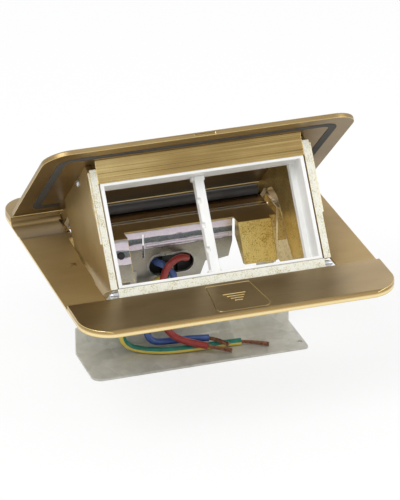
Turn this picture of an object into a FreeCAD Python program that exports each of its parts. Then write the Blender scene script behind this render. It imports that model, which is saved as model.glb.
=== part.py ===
import FreeCAD, Part

import math
import os
from FreeCAD import Vector

# Pop-up floor socket, millimetres. X runs along the front bar, +Y to the hinge, +Z up.
# The origin is the centre of the flange's underside, which lies on the floor at z = 0.
# The lid and its socket carrier are drawn shut, then turned open about the hinge pin.

# Flange: one brass casting with a front bar, a recess for the lid and a rear bar
PLATE_W = 156.0
PLATE_D = 154.0
PLATE_CORNER_R = 15.5
FLOOR_TOP = 1.2
UNDER_RECESS = 0.3
SEAT_HALF_X = 63.0
SEAT_FRONT_Y = -66.0
SEAT_REAR_Y = 64.0
SEAT_CORNER_R = 8.0
BAR_TOP = 3.5
BAR_STEP_Y = -44.5
BAR_NOSE = 1.7
COVE_START_Y = 39.0
COVE_BOTTOM = 0.7
COVE_R = 3.9
LIP_Y = 54.6
LIP_TOP = 4.6
REAR_BAR_TOP = 4.2

# Hinge
HINGE_Y = 54.8
HINGE_Z = -2.1
OPEN_ANGLE = 42.2
PIN_R = 2.0
PIN_CLEARANCE = 0.05
PIN_LENGTH = 113.6
EYE_R = 3.6
CHANNEL_R = 3.7
BOSS_HALF_Y = 3.9
BOSS_DROP = 3.7
INNER_BOSS_X = 39.4
INNER_BOSS_W = 3.5
OUTER_BOSS_GAP = 0.8
OUTER_BOSS_W = 4.2

# Lid
LID_T = 2.5
LID_GAP = 0.3
LID_FRONT_GAP = 0.5
LID_REAR_Y = 45.6
LID_CORNER_R = 13.0
LID_REAR_CORNER_R = 2.0
LID_EDGE_R = 0.9
SEAL_INSET = 8.0
SEAL_W = 4.0
SEAL_GROOVE = 0.6
SEAL_PROUD = 0.15
SEAL_CORNER_R = 8.0

# Socket carrier
CHEEK_IN = 51.6
CHEEK_T = 3.4
CHEEK_CLEARANCE = 1.6
FACE_LEAN = 7.4
FACE_FOOT_Y = -20.3
TOP_FACET_H = 4.015
CHEEK_REAR_Y = 28.6
CHEEK_LIFT = 2.8
CHEEK_STEP_Y = 3.0
PAD_T = 2.0
PAD_REAR_Y = 21.5
ARM_T = 2.4
ARM_LOW = [(27.1, -7.6), (40.2, -3.9), (50.2, -5.0)]
ARM_SIDE_GAP = 0.4
RIB_T = 0.9
RAIL_H = 4.6
RAIL_T = 2.4
RAIL_DEPTH = 9.0
RAIL_SHELF_T = 1.7
BAR_FACET_H = 7.1
TOP_BAR_T = 2.4
TOP_FACET_LEAN = 18.2
TOP_FLANGE_D = 9.0
RIVET_HEAD_R = 2.0
RIVET_HEAD_T = 1.1
RIVET_SHANK_R = 1.2
RIVET_Y = -3.9
RIVET_DROP = 2.2
LUG_W = 4.6
RAIL_PIN_R = 1.6
RAIL_PIN_OUT = 3.8
RAIL_PIN_IN = 6.0
RAIL_PIN_UP = -2.6
RAIL_PIN_BACK = 1.7

# White support frame for two modules
FRAME_W = 102.0
FRAME_H = 50.7
FRAME_DEPTH = 15.0
FRAME_SIDE_T = 1.9
FRAME_SILL_T = 1.4
CLIP_T = 2.6
CLIP_DEPTH = 4.0
CENTRE_BAR_W = 4.6
CENTRE_BAR_DEPTH = 4.4
CENTRE_FOOT_W = 6.6
CENTRE_FOOT_H = 2.2
TEETH = 3

# Release button and latch
BUTTON_REAR_Y = -47.4
BUTTON_FRONT_Y = -74.0
BUTTON_REAR_HALF = 10.4
BUTTON_FRONT_HALF = 13.5
BUTTON_CORNER_R = 3.0
BUTTON_T = 1.4
BUTTON_GAP = 0.2
BUTTON_TRAVEL = 1.4
POCKET_FLOOR = 0.6
GROOVE_W = 0.7
GROOVE_DEPTH = 0.25
GROOVE_LENGTHS = (11.0, 8.6, 6.2, 3.6)
GROOVE_FIRST_Y = -57.6
GROOVE_PITCH = 2.3
STEM_HALF = 3.0
STEM_REAR_Y = -50.2
STEM_FRONT_Y = -53.0
STEM_TIP_Z = -1.6
BOLT_T = 1.4
BOLT_HALF = 9.0
BOLT_TOP_Z = -0.3
BOLT_FRONT_Y = -57.0
NOSE_HALF = 4.5
NOSE_T = 0.8
NOSE_Z = 2.15
NOSE_REACH = 1.3
NOSE_POST_T = 0.9
NOSE_GAP = 0.15
HOUSING_HALF = 12.0
HOUSING_WALL = 1.2
HOUSING_FRONT_Y = -62.6
HOUSING_DEPTH = 3.6

# Sheet metal brackets
SHEET_T = 1.2
CABLE_BRACKET_Y = 27.2
CABLE_BRACKET_LEFT = -35.0
CABLE_BRACKET_RIGHT = 27.8
CABLE_BRACKET_LOW = -31.0
CABLE_BRACKET_HIGH = -20.8
BRACKET_FLANGE_D = 10.0
OVAL_X = -4.0
OVAL_Z = -19.5
OVAL_W = 23.0
OVAL_H = 10.0
OVAL_RIM = 0.8
SCREW_HOLE_X = -29.5
SCREW_HOLE_Z = -11.8
SCREW_HOLE_R = 3.2
BEAD_LEFT = -17.0
BEAD_Z = -8.0
BEAD_R = 1.0
SLIT_X = -18.6
SLIT_W = 0.8
SLIT_LOW = -14.7
SLIT_HIGH = -1.5
TAB_X = -26.6
TAB_W = 3.2
TAB_REACH = 5.0
TAB_LOW = -26.0
TAB_HIGH = -18.5
BOTTOM_Z = -60.0
BOTTOM_LEFT = -54.2
BOTTOM_RIGHT = 56.9
BOTTOM_FRONT_Y = -5.0
WALL_Y = 25.4
WALL_RIGHT_FROM = 16.2
WALL_MIDDLE_TOP = -50.0
WALL_RIGHT_TOP = -34.0
WING_TOP = -47.0
WING_RISE = 3.0
UPRIGHT_LEFT = (-49.0, -35.8)
UPRIGHT_RIGHT = (40.0, 49.0)
UPRIGHT_TOP = -3.0
BOTTOM_LEFT_R = 5.0
BOTTOM_RIGHT_R = 2.0
BOTTOM_HOLE_R = 1.2
BOTTOM_HOLE_X = 54.4
BOTTOM_HOLE_Y = 2.0

# Cast lugs below the recess
LUG_FACE_Y = 20.0
LUG_LEFT = 28.3
LUG_RIGHT = 45.4
LUG_TOP_Z = 1.2
LUG_REACH_Y = 10.9
LUG_REACH_Z = 18.2
LUG_T = 3.0
BOSS_WALL_T = 2.6
BOSS_WALL_IN = 43.8
BOSS_WALL_OUT = 49.2
BRACKET_SCREW_Z = -15.0
BOSS_WALL_DROP = 25.0
SKIRT_T = 2.2
SKIRT_GAP = 0.6
SKIRT_DROP = 34.0
SKIRT_FRONT_Y = 6.0
SKIRT_REAR_Y = 49.0
OPENING_REAR_Y = 26.5
OPENING_CORNER_R = 2.0
DIMPLE_X = 61.5
DIMPLE_Y = 0.7
DIMPLE_R = 3.6
DIMPLE_H = 0.25

# Black hinge cover strip
COVER_R = 2.5
COVER_FLAT = 0.15
COVER_Y = 49.9
COVER_HALF = 48.9

# Springs
SPRING_WIRE_R = 0.55
SPRING_MEAN_R = 2.85
SPRING_TURNS = 4
BUTTON_SPRING_R = 1.7
BUTTON_SPRING_WIRE_R = 0.25
BUTTON_SPRING_X = 7.5
BUTTON_SPRING_Y = -62.0
LATCH_SPRING_R = 0.6
LATCH_SPRING_WIRE_R = 0.15
LATCH_SPRING_PLAY = 0.2

# Screws
SCREW_R = 1.5
SCREW_HEAD_R = 2.9
SCREW_HEAD_T = 1.8
SCREW_LENGTH = 5.0
SCREW_SLOT_W = 0.8
SCREW_SLOT_DEPTH = 0.7
FLANGE_SCREWS_X = (-26.0, 18.0)
FLANGE_SCREW_Y = 33.2

# Leads: route points chosen by hand, from the terminal block to the end of the insulation
LEAD_D = 3.5
CORE_D = 1.8
CORE_STUB = 3.0
BLOCK_Y = 31.6
BLOCK_W = 30.0
BLOCK_D = 8.0
BLOCK_H = 15.0
BLOCK_X = -4.0
BLOCK_Z = -21.3
BLOCK_SLOT_W = 1.2
BLOCK_SLOT_DEPTH = 1.6
POST_W = 3.2
POST_H = 4.0
LEAD_PITCH = 8.0
LEAD_ROUTES = {
    "red": [(4.6, 31.6, -17.8), (4.6, 26.4, -17.8), (-0.8, 21.6, -13.7), (-6.0, 18.5, -13.9),
            (-9.8, 17.2, -17.0), (-12.2, 16.2, -23.0), (-13.4, 15.5, -32.0), (-13.2, 14.0, -42.0),
            (-11.0, 12.9, -48.6), (-6.4, 10.6, -52.7), (-0.6, 7.2, -54.2), (7.2, 4.4, -56.0)],
    "blue": [(-12.0, 31.6, -17.4), (-12.0, 26.6, -17.4), (-10.8, 22.8, -16.4), (-7.8, 21.2, -18.6),
             (-5.2, 19.8, -21.8), (-4.6, 19.8, -27.0), (-8.0, 20.8, -34.0), (-14.5, 20.6, -41.0),
             (-19.6, 17.6, -46.6), (-20.6, 15.4, -51.4), (-17.4, 15.3, -54.8), (-12.0, 15.9, -56.0),
             (-5.0, 14.9, -55.8), (2.0, 13.4, -55.2), (9.9, 10.5, -54.9)],
    "green": [(-4.0, 31.6, -22.2), (-4.0, 26.4, -22.2), (-8.0, 23.2, -23.8), (-15.0, 22.0, -26.0),
              (-22.0, 19.6, -29.0), (-28.5, 18.4, -35.0), (-32.6, 17.2, -43.5), (-33.4, 16.6, -51.5),
              (-29.4, 17.6, -56.6), (-25.1, 16.1, -58.0), (-20.0, 12.7, -58.0), (-13.7, 10.2, -58.0),
              (-5.7, 8.9, -58.0), (8.5, 8.2, -58.0), (17.0, 8.4, -58.0), (25.5, 7.5, -58.0)],
}
CORE_TIPS = {"red": (18.2, -0.4, -58.0), "blue": (17.4, 3.0, -56.1), "green": (38.0, 1.4, -58.6)}

LID_UNDER = FLOOR_TOP + LID_GAP
FACE_FOOT_Z = LID_UNDER - (FRAME_H + BAR_FACET_H + TOP_FACET_H) * math.cos(math.radians(FACE_LEAN))
CHEEK_BOTTOM_Z = FACE_FOOT_Z + CHEEK_LIFT
PAD_LOW_Z = CHEEK_BOTTOM_Z + 1.2
LID_FRONT_Y = BAR_STEP_Y + LID_FRONT_GAP
CHEEK_OUT = CHEEK_IN + CHEEK_T
PAD_IN = CHEEK_IN - PAD_T
ARM_OUT = PAD_IN + ARM_T
OPENING_HALF = CHEEK_OUT + CHEEK_CLEARANCE
SLOT_IN = PAD_IN - ARM_SIDE_GAP
SLOT_OUT = ARM_OUT + ARM_SIDE_GAP
SLOT_REAR_Y = LIP_Y - 0.5
POST_REAR_Y = BAR_STEP_Y - 0.6
POST_FRONT_Y = POST_REAR_Y - NOSE_POST_T
BOSS_X = (BOSS_WALL_IN + BOSS_WALL_OUT) / 2
HINGE = Vector(0, HINGE_Y, HINGE_Z)
X_AXIS = Vector(1, 0, 0)
Y_AXIS = Vector(0, 1, 0)
Z_AXIS = Vector(0, 0, 1)


def box(x0, x1, y0, y1, z0, z1):
    return Part.makeBox(x1 - x0, y1 - y0, z1 - z0, Vector(x0, y0, z0))


def face_of(edges):
    return Part.Face(Part.Wire(Part.__sortEdges__(edges)))


def polygon_yz(points, x0, x1):
    """Extrude a closed outline in the YZ plane along X."""
    corners = [Vector(x0, y, z) for y, z in points]
    outline = Part.Face(Part.makePolygon(corners + corners[:1]))
    return outline.extrude(Vector(x1 - x0, 0, 0))


def polygon_xz(points, y0, y1):
    """Extrude a closed outline in the XZ plane along Y."""
    corners = [Vector(x, y0, z) for x, z in points]
    outline = Part.Face(Part.makePolygon(corners + corners[:1]))
    return outline.extrude(Vector(0, y1 - y0, 0))


def polygon_xy(points, z0, z1):
    """Extrude a closed outline in the XY plane along Z."""
    corners = [Vector(x, y, z0) for x, y in points]
    outline = Part.Face(Part.makePolygon(corners + corners[:1]))
    return outline.extrude(Vector(0, 0, z1 - z0))


def rod(start, end, radius):
    way = end - start
    return Part.makeCylinder(radius, way.Length, start, way)


def rod_x(x0, x1, y, z, radius):
    return Part.makeCylinder(radius, x1 - x0, Vector(x0, y, z), X_AXIS)


def vertical_edges(shape, test):
    """Edges parallel to Z whose centre passes the test."""
    chosen = []
    for edge in shape.Edges:
        ends = [vertex.Point for vertex in edge.Vertexes]
        if len(ends) == 2 and abs(ends[0].x - ends[1].x) < 1e-6 and abs(ends[0].y - ends[1].y) < 1e-6:
            if test(edge.CenterOfMass):
                chosen.append(edge)
    return chosen


def rounded_slab(x0, x1, y0, y1, z0, z1, front_r, rear_r):
    """A flat slab with its own corner radius at the front and at the rear."""
    slab = box(x0, x1, y0, y1, z0, z1)
    middle = (y0 + y1) / 2
    slab = slab.makeFillet(front_r, vertical_edges(slab, lambda centre: centre.y < middle))
    return slab.makeFillet(rear_r, vertical_edges(slab, lambda centre: centre.y > middle))


def mirrored(shape):
    return shape.mirror(Vector(0, 0, 0), X_AXIS)


def opened(shape):
    """Turn a piece from the shut position to the open one."""
    turned = shape.copy()
    turned.rotate(HINGE, X_AXIS, -OPEN_ANGLE)
    return turned


def face_point(up, back):
    """A point of the leaning module face: up along it, back behind it, as (y, z) when shut."""
    lean = math.radians(FACE_LEAN)
    y = FACE_FOOT_Y - up * math.sin(lean) + back * math.cos(lean)
    z = FACE_FOOT_Z + up * math.cos(lean) + back * math.sin(lean)
    return y, z


def on_face(points, x0, x1):
    return polygon_yz([face_point(up, back) for up, back in points], x0, x1)


# Flange casting

def plate_section():
    """The casting's section from front to rear, extruded across its width."""
    front = -PLATE_D / 2
    rear = PLATE_D / 2
    cove_end = Vector(0, LIP_Y, LIP_TOP)
    cove_low = Vector(0, LIP_Y - COVE_R, LIP_TOP - COVE_R)
    cove_mid = Vector(0, LIP_Y - COVE_R + COVE_R * math.sin(math.pi / 4),
                      LIP_TOP - COVE_R * math.cos(math.pi / 4))
    start = [Vector(0, front, 0), Vector(0, front, BAR_TOP - BAR_NOSE)]
    nose_mid = Vector(0, front + BAR_NOSE * (1 - math.cos(math.pi / 4)),
                      BAR_TOP - BAR_NOSE * (1 - math.sin(math.pi / 4)))
    nose_end = Vector(0, front + BAR_NOSE, BAR_TOP)
    run = [nose_end, Vector(0, BAR_STEP_Y, BAR_TOP), Vector(0, BAR_STEP_Y, FLOOR_TOP),
           Vector(0, COVE_START_Y, FLOOR_TOP), Vector(0, COVE_START_Y + 1.4, COVE_BOTTOM), cove_low]
    rear_top = [cove_end, Vector(0, LIP_Y + 0.8, LIP_TOP), Vector(0, rear - BAR_NOSE, REAR_BAR_TOP)]
    rear_mid = Vector(0, rear - BAR_NOSE * (1 - math.cos(math.pi / 4)),
                      REAR_BAR_TOP - BAR_NOSE * (1 - math.sin(math.pi / 4)))
    rear_end = [Vector(0, rear, REAR_BAR_TOP - BAR_NOSE), Vector(0, rear, 0)]
    edges = [Part.LineSegment(start[0], start[1]).toShape(),
             Part.Arc(start[1], nose_mid, nose_end).toShape()]
    edges += [Part.LineSegment(a, b).toShape() for a, b in zip(run, run[1:])]
    edges.append(Part.Arc(cove_low, cove_mid, cove_end).toShape())
    edges += [Part.LineSegment(a, b).toShape() for a, b in zip(rear_top, rear_top[1:])]
    edges.append(Part.Arc(rear_top[-1], rear_mid, rear_end[0]).toShape())
    edges.append(Part.LineSegment(rear_end[0], rear_end[1]).toShape())
    edges.append(Part.LineSegment(rear_end[1], start[0]).toShape())
    solid = face_of(edges).extrude(Vector(PLATE_W, 0, 0))
    solid.translate(Vector(-PLATE_W / 2, 0, 0))
    return solid


def opening_cutter():
    """The well through the recess floor, with a slot behind each cheek for its hinge arm."""
    half = OPENING_HALF
    wide = half + 0.9
    right = [(SLOT_OUT, SLOT_REAR_Y), (SLOT_OUT, CHEEK_REAR_Y + 1.6), (CHEEK_OUT + 0.5, CHEEK_REAR_Y + 0.6),
             (CHEEK_OUT + 0.8, 12.0), (half, 3.0), (half, -12.0), (half + 0.25, -17.0), (wide, -23.0),
             (wide, BAR_STEP_Y)]
    left = [(-x, y) for x, y in reversed(right)]
    inner_left = [(-SLOT_IN, SLOT_REAR_Y), (-SLOT_IN, OPENING_REAR_Y)]
    inner_right = [(SLOT_IN, OPENING_REAR_Y), (SLOT_IN, SLOT_REAR_Y)]
    cutter = polygon_xy(right + left + inner_left + inner_right, -1.0, LIP_TOP + 1)
    corners = vertical_edges(cutter, lambda centre: abs(centre.y - OPENING_REAR_Y) < 0.1)
    return cutter.makeFillet(OPENING_CORNER_R, corners)


def lug_tongue():
    """A cast tongue that leans forward below the recess."""
    foot_y = LUG_FACE_Y - LUG_REACH_Y
    foot_z = LUG_TOP_Z - LUG_REACH_Z
    points = [(LUG_FACE_Y, LUG_TOP_Z), (foot_y, foot_z), (foot_y + LUG_T, foot_z - 0.8),
              (WALL_Y, -8.0), (WALL_Y, UNDER_RECESS), (OPENING_REAR_Y + 0.5, UNDER_RECESS),
              (OPENING_REAR_Y + 0.5, LUG_TOP_Z)]
    return polygon_yz(points, LUG_LEFT, LUG_RIGHT)


def boss_wall():
    """The upright cast wall that the bottom bracket is screwed to."""
    y0 = WALL_Y - BOSS_WALL_T
    wall = box(BOSS_WALL_IN, BOSS_WALL_OUT, y0, WALL_Y, -BOSS_WALL_DROP, FLOOR_TOP)
    bridge = box(BOSS_WALL_IN, BOSS_WALL_OUT, y0, OPENING_REAR_Y + 2, UNDER_RECESS, FLOOR_TOP)
    foot = Vector(BOSS_X, y0, BRACKET_SCREW_Z)
    hole = Part.makeCylinder(SCREW_R + PIN_CLEARANCE, BOSS_WALL_T, foot, Y_AXIS)
    return wall.fuse(bridge).cut(hole)


def skirt():
    """A side wall below the flange that centres the casting in the floor cut-out."""
    x0 = OPENING_HALF + SKIRT_GAP
    points = [(SKIRT_FRONT_Y, 0.5), (SKIRT_FRONT_Y + 3, -SKIRT_DROP), (SKIRT_REAR_Y - 3, -SKIRT_DROP),
              (SKIRT_REAR_Y, 0.5)]
    return polygon_yz(points, x0, x0 + SKIRT_T)


def hinge_boss(x0, x1):
    y0 = HINGE_Y - BOSS_HALF_Y
    y1 = HINGE_Y + BOSS_HALF_Y
    low = HINGE_Z - BOSS_DROP
    points = [(y0, low), (y1, low), (y1, 3.0), (LIP_Y, 3.0), (LIP_Y - 2.0, 0.6), (y0, 0.3)]
    return polygon_yz(points, x0, x1)


def button_outline(grow, z0, z1):
    """The trapezoid of the release button, grown all round for its pocket."""
    rear = BUTTON_REAR_Y + grow
    front = BUTTON_FRONT_Y - grow
    rear_half = BUTTON_REAR_HALF + grow
    front_half = BUTTON_FRONT_HALF + grow
    solid = polygon_xy([(-rear_half, rear), (-front_half, front), (front_half, front), (rear_half, rear)],
                       z0, z1)
    corners = vertical_edges(solid, lambda centre: centre.y < (rear + front) / 2)
    return solid.makeFillet(BUTTON_CORNER_R + grow, corners)


def base_plate():
    outline = rounded_slab(-PLATE_W / 2, PLATE_W / 2, -PLATE_D / 2, PLATE_D / 2, -1, LIP_TOP + 1,
                           PLATE_CORNER_R, PLATE_CORNER_R)
    plate = plate_section().common(outline)
    for side in (-1, 1):
        dimple = Part.makeSphere(DIMPLE_R * DIMPLE_R / (2 * DIMPLE_H) + DIMPLE_H / 2)
        drop = DIMPLE_R * DIMPLE_R / (2 * DIMPLE_H) - DIMPLE_H / 2
        dimple.translate(Vector(side * DIMPLE_X, DIMPLE_Y, FLOOR_TOP - drop))
        cap = box(side * DIMPLE_X - 5, side * DIMPLE_X + 5, DIMPLE_Y - 5, DIMPLE_Y + 5, 0.5, 3)
        plate = plate.fuse(dimple.common(cap))
    recess = rounded_slab(-SEAT_HALF_X, SEAT_HALF_X, SEAT_FRONT_Y, SEAT_REAR_Y, -1, UNDER_RECESS,
                          SEAT_CORNER_R, SEAT_CORNER_R)
    plate = plate.cut(recess).cut(opening_cutter())
    for side in (lambda shape: shape, mirrored):
        plate = plate.cut(side(box(SLOT_IN, SLOT_OUT, OPENING_REAR_Y + 4, HINGE_Y + 5.2, -1, 3.3)))
    plate = plate.cut(rod_x(-SLOT_IN, SLOT_IN, HINGE_Y, HINGE_Z, CHANNEL_R))
    added = [lug_tongue(), boss_wall(), skirt()]
    added.append(hinge_boss(INNER_BOSS_X, INNER_BOSS_X + INNER_BOSS_W))
    outer = ARM_OUT + OUTER_BOSS_GAP
    added.append(hinge_boss(outer, outer + OUTER_BOSS_W))
    for piece in added:
        plate = plate.fuse(piece)
        plate = plate.fuse(mirrored(piece))
    plate = plate.cut(rod_x(-PLATE_W / 2, PLATE_W / 2, HINGE_Y, HINGE_Z, PIN_R + PIN_CLEARANCE))
    plate = plate.cut(button_outline(BUTTON_GAP, POCKET_FLOOR, BAR_TOP + 1))
    plate = plate.cut(box(-STEM_HALF - PIN_CLEARANCE, STEM_HALF + PIN_CLEARANCE,
                          STEM_FRONT_Y - PIN_CLEARANCE, STEM_REAR_Y + PIN_CLEARANCE, -1, BAR_TOP))
    plate = plate.cut(nose_channel())
    return plate.removeSplitter()


def nose_channel():
    """The passage behind the button pocket for the bolt's post, and the nose window in the step."""
    half = NOSE_HALF + NOSE_GAP
    post = box(-half, half, POST_FRONT_Y - BUTTON_TRAVEL - NOSE_GAP, POST_REAR_Y + NOSE_GAP,
               -1, NOSE_Z + NOSE_T + NOSE_GAP)
    window = box(-half, half, POST_FRONT_Y, BAR_STEP_Y + 1, NOSE_Z - NOSE_GAP, NOSE_Z + NOSE_T + NOSE_GAP)
    return post.fuse(window)


# Release button and latch

def release_button():
    button = button_outline(0, BAR_TOP - BUTTON_T, BAR_TOP)
    for index, length in enumerate(GROOVE_LENGTHS):
        y = GROOVE_FIRST_Y - index * GROOVE_PITCH
        button = button.cut(box(-length / 2, length / 2, y - GROOVE_W / 2, y + GROOVE_W / 2,
                                BAR_TOP - GROOVE_DEPTH, BAR_TOP + 1))
    slant = BOLT_TOP_Z - STEM_TIP_Z
    stem = polygon_yz([(STEM_REAR_Y, BAR_TOP - BUTTON_T), (STEM_REAR_Y, STEM_TIP_Z),
                       (STEM_FRONT_Y + slant, STEM_TIP_Z), (STEM_FRONT_Y, BOLT_TOP_Z),
                       (STEM_FRONT_Y, BAR_TOP - BUTTON_T)], -STEM_HALF, STEM_HALF)
    return button.fuse(stem).removeSplitter()


def latch_bolt():
    """A flat bolt below the bar, with an upturned nose. Its slanted edge meets the button's stem."""
    low = BOLT_TOP_Z - BOLT_T
    bolt = box(-BOLT_HALF, BOLT_HALF, BOLT_FRONT_Y, POST_REAR_Y, low, BOLT_TOP_Z)
    edge = STEM_FRONT_Y - PIN_CLEARANCE
    end = STEM_REAR_Y + BUTTON_TRAVEL + 0.3
    window = polygon_yz([(edge, BOLT_TOP_Z + 1), (edge, BOLT_TOP_Z), (edge + BOLT_T, low),
                         (edge + BOLT_T, low - 1), (end, low - 1), (end, BOLT_TOP_Z + 1)],
                        -STEM_HALF - 0.4, STEM_HALF + 0.4)
    post = box(-NOSE_HALF, NOSE_HALF, POST_FRONT_Y, POST_REAR_Y, low, NOSE_Z + NOSE_T)
    tip = BAR_STEP_Y + NOSE_REACH
    nose = polygon_yz([(POST_FRONT_Y, NOSE_Z), (tip, NOSE_Z), (tip, NOSE_Z + NOSE_T / 2),
                       (tip - NOSE_T / 2, NOSE_Z + NOSE_T), (POST_FRONT_Y, NOSE_Z + NOSE_T)],
                      -NOSE_HALF, NOSE_HALF)
    return bolt.cut(window).fuse(post).fuse(nose).removeSplitter()


def latch_housing():
    """A tray below the front bar that carries the bolt."""
    rear = POST_REAR_Y
    outer = box(-HOUSING_HALF, HOUSING_HALF, HOUSING_FRONT_Y, rear, -HOUSING_DEPTH, UNDER_RECESS)
    inner = box(-BOLT_HALF - 0.15, BOLT_HALF + 0.15, HOUSING_FRONT_Y + HOUSING_WALL, rear + 1,
                BOLT_TOP_Z - BOLT_T - 0.1, 1)
    slot = box(-STEM_HALF - 0.5, STEM_HALF + 0.5, STEM_FRONT_Y - 0.5, STEM_REAR_Y + 0.5, -HOUSING_DEPTH - 1, 0)
    return outer.cut(inner).cut(slot)


def coil(turns, length, mean_r, wire_r, start, axis):
    """A round wire wound along an axis from a start point."""
    helix = Part.makeHelix(length / turns, length, mean_r)
    profile = Part.Wire(Part.makeCircle(wire_r, Vector(mean_r, 0, 0), Y_AXIS))
    spring = Part.Wire(helix).makePipeShell([profile], True, True)
    spring.Placement = FreeCAD.Placement(start, FreeCAD.Rotation(Z_AXIS, axis))
    return spring


def button_springs():
    """Two springs in front of the stem, between the pocket floor and the button."""
    room = BAR_TOP - BUTTON_T - POCKET_FLOOR - 2 * BUTTON_SPRING_WIRE_R
    springs = []
    for side in (-1, 1):
        foot = Vector(side * BUTTON_SPRING_X, BUTTON_SPRING_Y, POCKET_FLOOR + BUTTON_SPRING_WIRE_R)
        springs.append(coil(2, room, BUTTON_SPRING_R, BUTTON_SPRING_WIRE_R, foot, Z_AXIS))
    return Part.makeCompound(springs)


def latch_spring():
    """The spring between the housing's front wall and the bolt."""
    start = HOUSING_FRONT_Y + HOUSING_WALL + LATCH_SPRING_PLAY
    length = BOLT_FRONT_Y - start - LATCH_SPRING_PLAY
    return coil(4, length, LATCH_SPRING_R, LATCH_SPRING_WIRE_R,
                Vector(0, start, BOLT_TOP_Z - BOLT_T / 2), Y_AXIS)


# Lid and carrier, drawn shut

def lid_plate():
    half = PLATE_W / 2
    lid = rounded_slab(-half, half, LID_FRONT_Y, LID_REAR_Y, LID_UNDER, LID_UNDER + LID_T,
                       LID_CORNER_R, LID_REAR_CORNER_R)
    top = LID_UNDER + LID_T
    rim = [edge for edge in lid.Edges
           if abs(edge.BoundBox.ZMin - top) < 1e-4 and abs(edge.BoundBox.ZMax - top) < 1e-4]
    lid = lid.makeFillet(LID_EDGE_R, rim)
    lid = lid.cut(seal_ring(LID_UNDER - 1, LID_UNDER + SEAL_GROOVE))
    for piece in (lid_lug(), mirrored(lid_lug())):
        lid = lid.fuse(piece)
    slot = box(-NOSE_HALF - 0.6, NOSE_HALF + 0.6, LID_FRONT_Y - 1, BAR_STEP_Y + NOSE_REACH + 0.3,
               NOSE_Z - NOSE_GAP, NOSE_Z + NOSE_T + NOSE_GAP)
    return lid.cut(slot).removeSplitter()


def lid_lug():
    """A lug inside each cheek that the cheek's rivet goes into."""
    y0 = RIVET_Y - 4.0
    lug = box(PAD_IN - LUG_W, PAD_IN, y0, y0 + 8.0, LID_UNDER - RIVET_DROP - 2.4, LID_UNDER)
    return lug.cut(rivet_hole())


def rivet_hole():
    z = LID_UNDER - RIVET_DROP
    return rod_x(PAD_IN - LUG_W + 1.0, CHEEK_OUT + 1, RIVET_Y, z, RIVET_SHANK_R)


def seal_ring(z0, z1):
    """The seal's track, left open at the rear between the cheeks."""
    half = PLATE_W / 2 - SEAL_INSET
    front = LID_FRONT_Y + SEAL_INSET
    rear = LID_REAR_Y - SEAL_INSET
    outer = rounded_slab(-half, half, front, rear, z0, z1, SEAL_CORNER_R, SEAL_W + 1.0)
    inner = rounded_slab(-half + SEAL_W, half - SEAL_W, front + SEAL_W, rear - SEAL_W, z0 - 1, z1 + 1,
                         SEAL_CORNER_R - SEAL_W, 1.0)
    between = CHEEK_OUT + 0.6
    gap = box(-between, between, rear - SEAL_W - 1, rear + 1, z0 - 1, z1 + 1)
    return outer.cut(inner).cut(gap)


def lid_seal():
    return seal_ring(LID_UNDER - SEAL_PROUD, LID_UNDER + SEAL_GROOVE)


def cheek_right():
    """A cast side cheek: a plate beside the module frame, a thicker pad behind it and a hinge arm."""
    top_y, top_z = face_point(FRAME_H + BAR_FACET_H + 0.2, 0)
    step_y = top_y + CHEEK_STEP_Y
    outline = [(step_y + 2.6, LID_UNDER), (CHEEK_REAR_Y, LID_UNDER), (CHEEK_REAR_Y, CHEEK_BOTTOM_Z + 19.0), (21.0, CHEEK_BOTTOM_Z + 7.0),
               (14.5, CHEEK_BOTTOM_Z), (-8.0, CHEEK_BOTTOM_Z - 0.6), face_point(-0.2, 0), (top_y, top_z),
               (step_y, top_z)]
    cheek = polygon_yz(outline, CHEEK_IN, CHEEK_OUT)
    cheek = cheek.fuse(cheek_rib()).fuse(cheek_pad()).fuse(hinge_arm())
    cheek = cheek.cut(rod_x(PAD_IN - 1, CHEEK_OUT + 1, HINGE_Y, HINGE_Z, PIN_R + PIN_CLEARANCE))
    return cheek.cut(rivet_hole()).removeSplitter()


def cheek_pad():
    """The thicker part of a cheek, behind the module frame."""
    back = FRAME_DEPTH + 0.4
    front_top = face_point(FRAME_H + 5.0, back)
    outline = [face_point(2.0, back), front_top, (front_top[0], LID_UNDER), (PAD_REAR_Y, LID_UNDER),
               (PAD_REAR_Y, PAD_LOW_Z + 8.8), (12.0, PAD_LOW_Z)]
    return polygon_yz(outline, PAD_IN, CHEEK_IN)


def hinge_arm():
    """The arm from a cheek's pad to the hinge pin, inboard of the rear bar's end."""
    outline = [(0.0, LID_UNDER), (HINGE_Y, LID_UNDER), (HINGE_Y, HINGE_Z - EYE_R)]
    outline += list(reversed(ARM_LOW)) + [(PAD_REAR_Y, -15.0), (0.0, -15.0)]
    eye = rod_x(PAD_IN, ARM_OUT, HINGE_Y, HINGE_Z, EYE_R)
    return polygon_yz(outline, PAD_IN, ARM_OUT).fuse(eye)


def cheek_rib():
    """The tapered rib along the upper front edge of a cheek's outer face."""
    low = face_point(22.0, 0.3)
    high = face_point(FRAME_H + 6.0, 0.3)
    inner = face_point(FRAME_H + 4.0, 4.6)
    return polygon_yz([low, high, inner], CHEEK_OUT - 0.5, CHEEK_OUT + RIB_T)


def lid_rivets():
    z = LID_UNDER - RIVET_DROP
    head = rod_x(CHEEK_OUT, CHEEK_OUT + RIVET_HEAD_T, RIVET_Y, z, RIVET_HEAD_R)
    rim = [edge for edge in head.Edges if edge.BoundBox.XMin > CHEEK_OUT + RIVET_HEAD_T - 1e-4]
    head = head.makeFillet(RIVET_HEAD_T * 0.6, rim)
    shank = rod_x(PAD_IN - LUG_W + 1.0, CHEEK_OUT, RIVET_Y, z, RIVET_SHANK_R)
    rivet = head.fuse(shank).removeSplitter()
    return Part.makeCompound([rivet, mirrored(rivet)])


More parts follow.
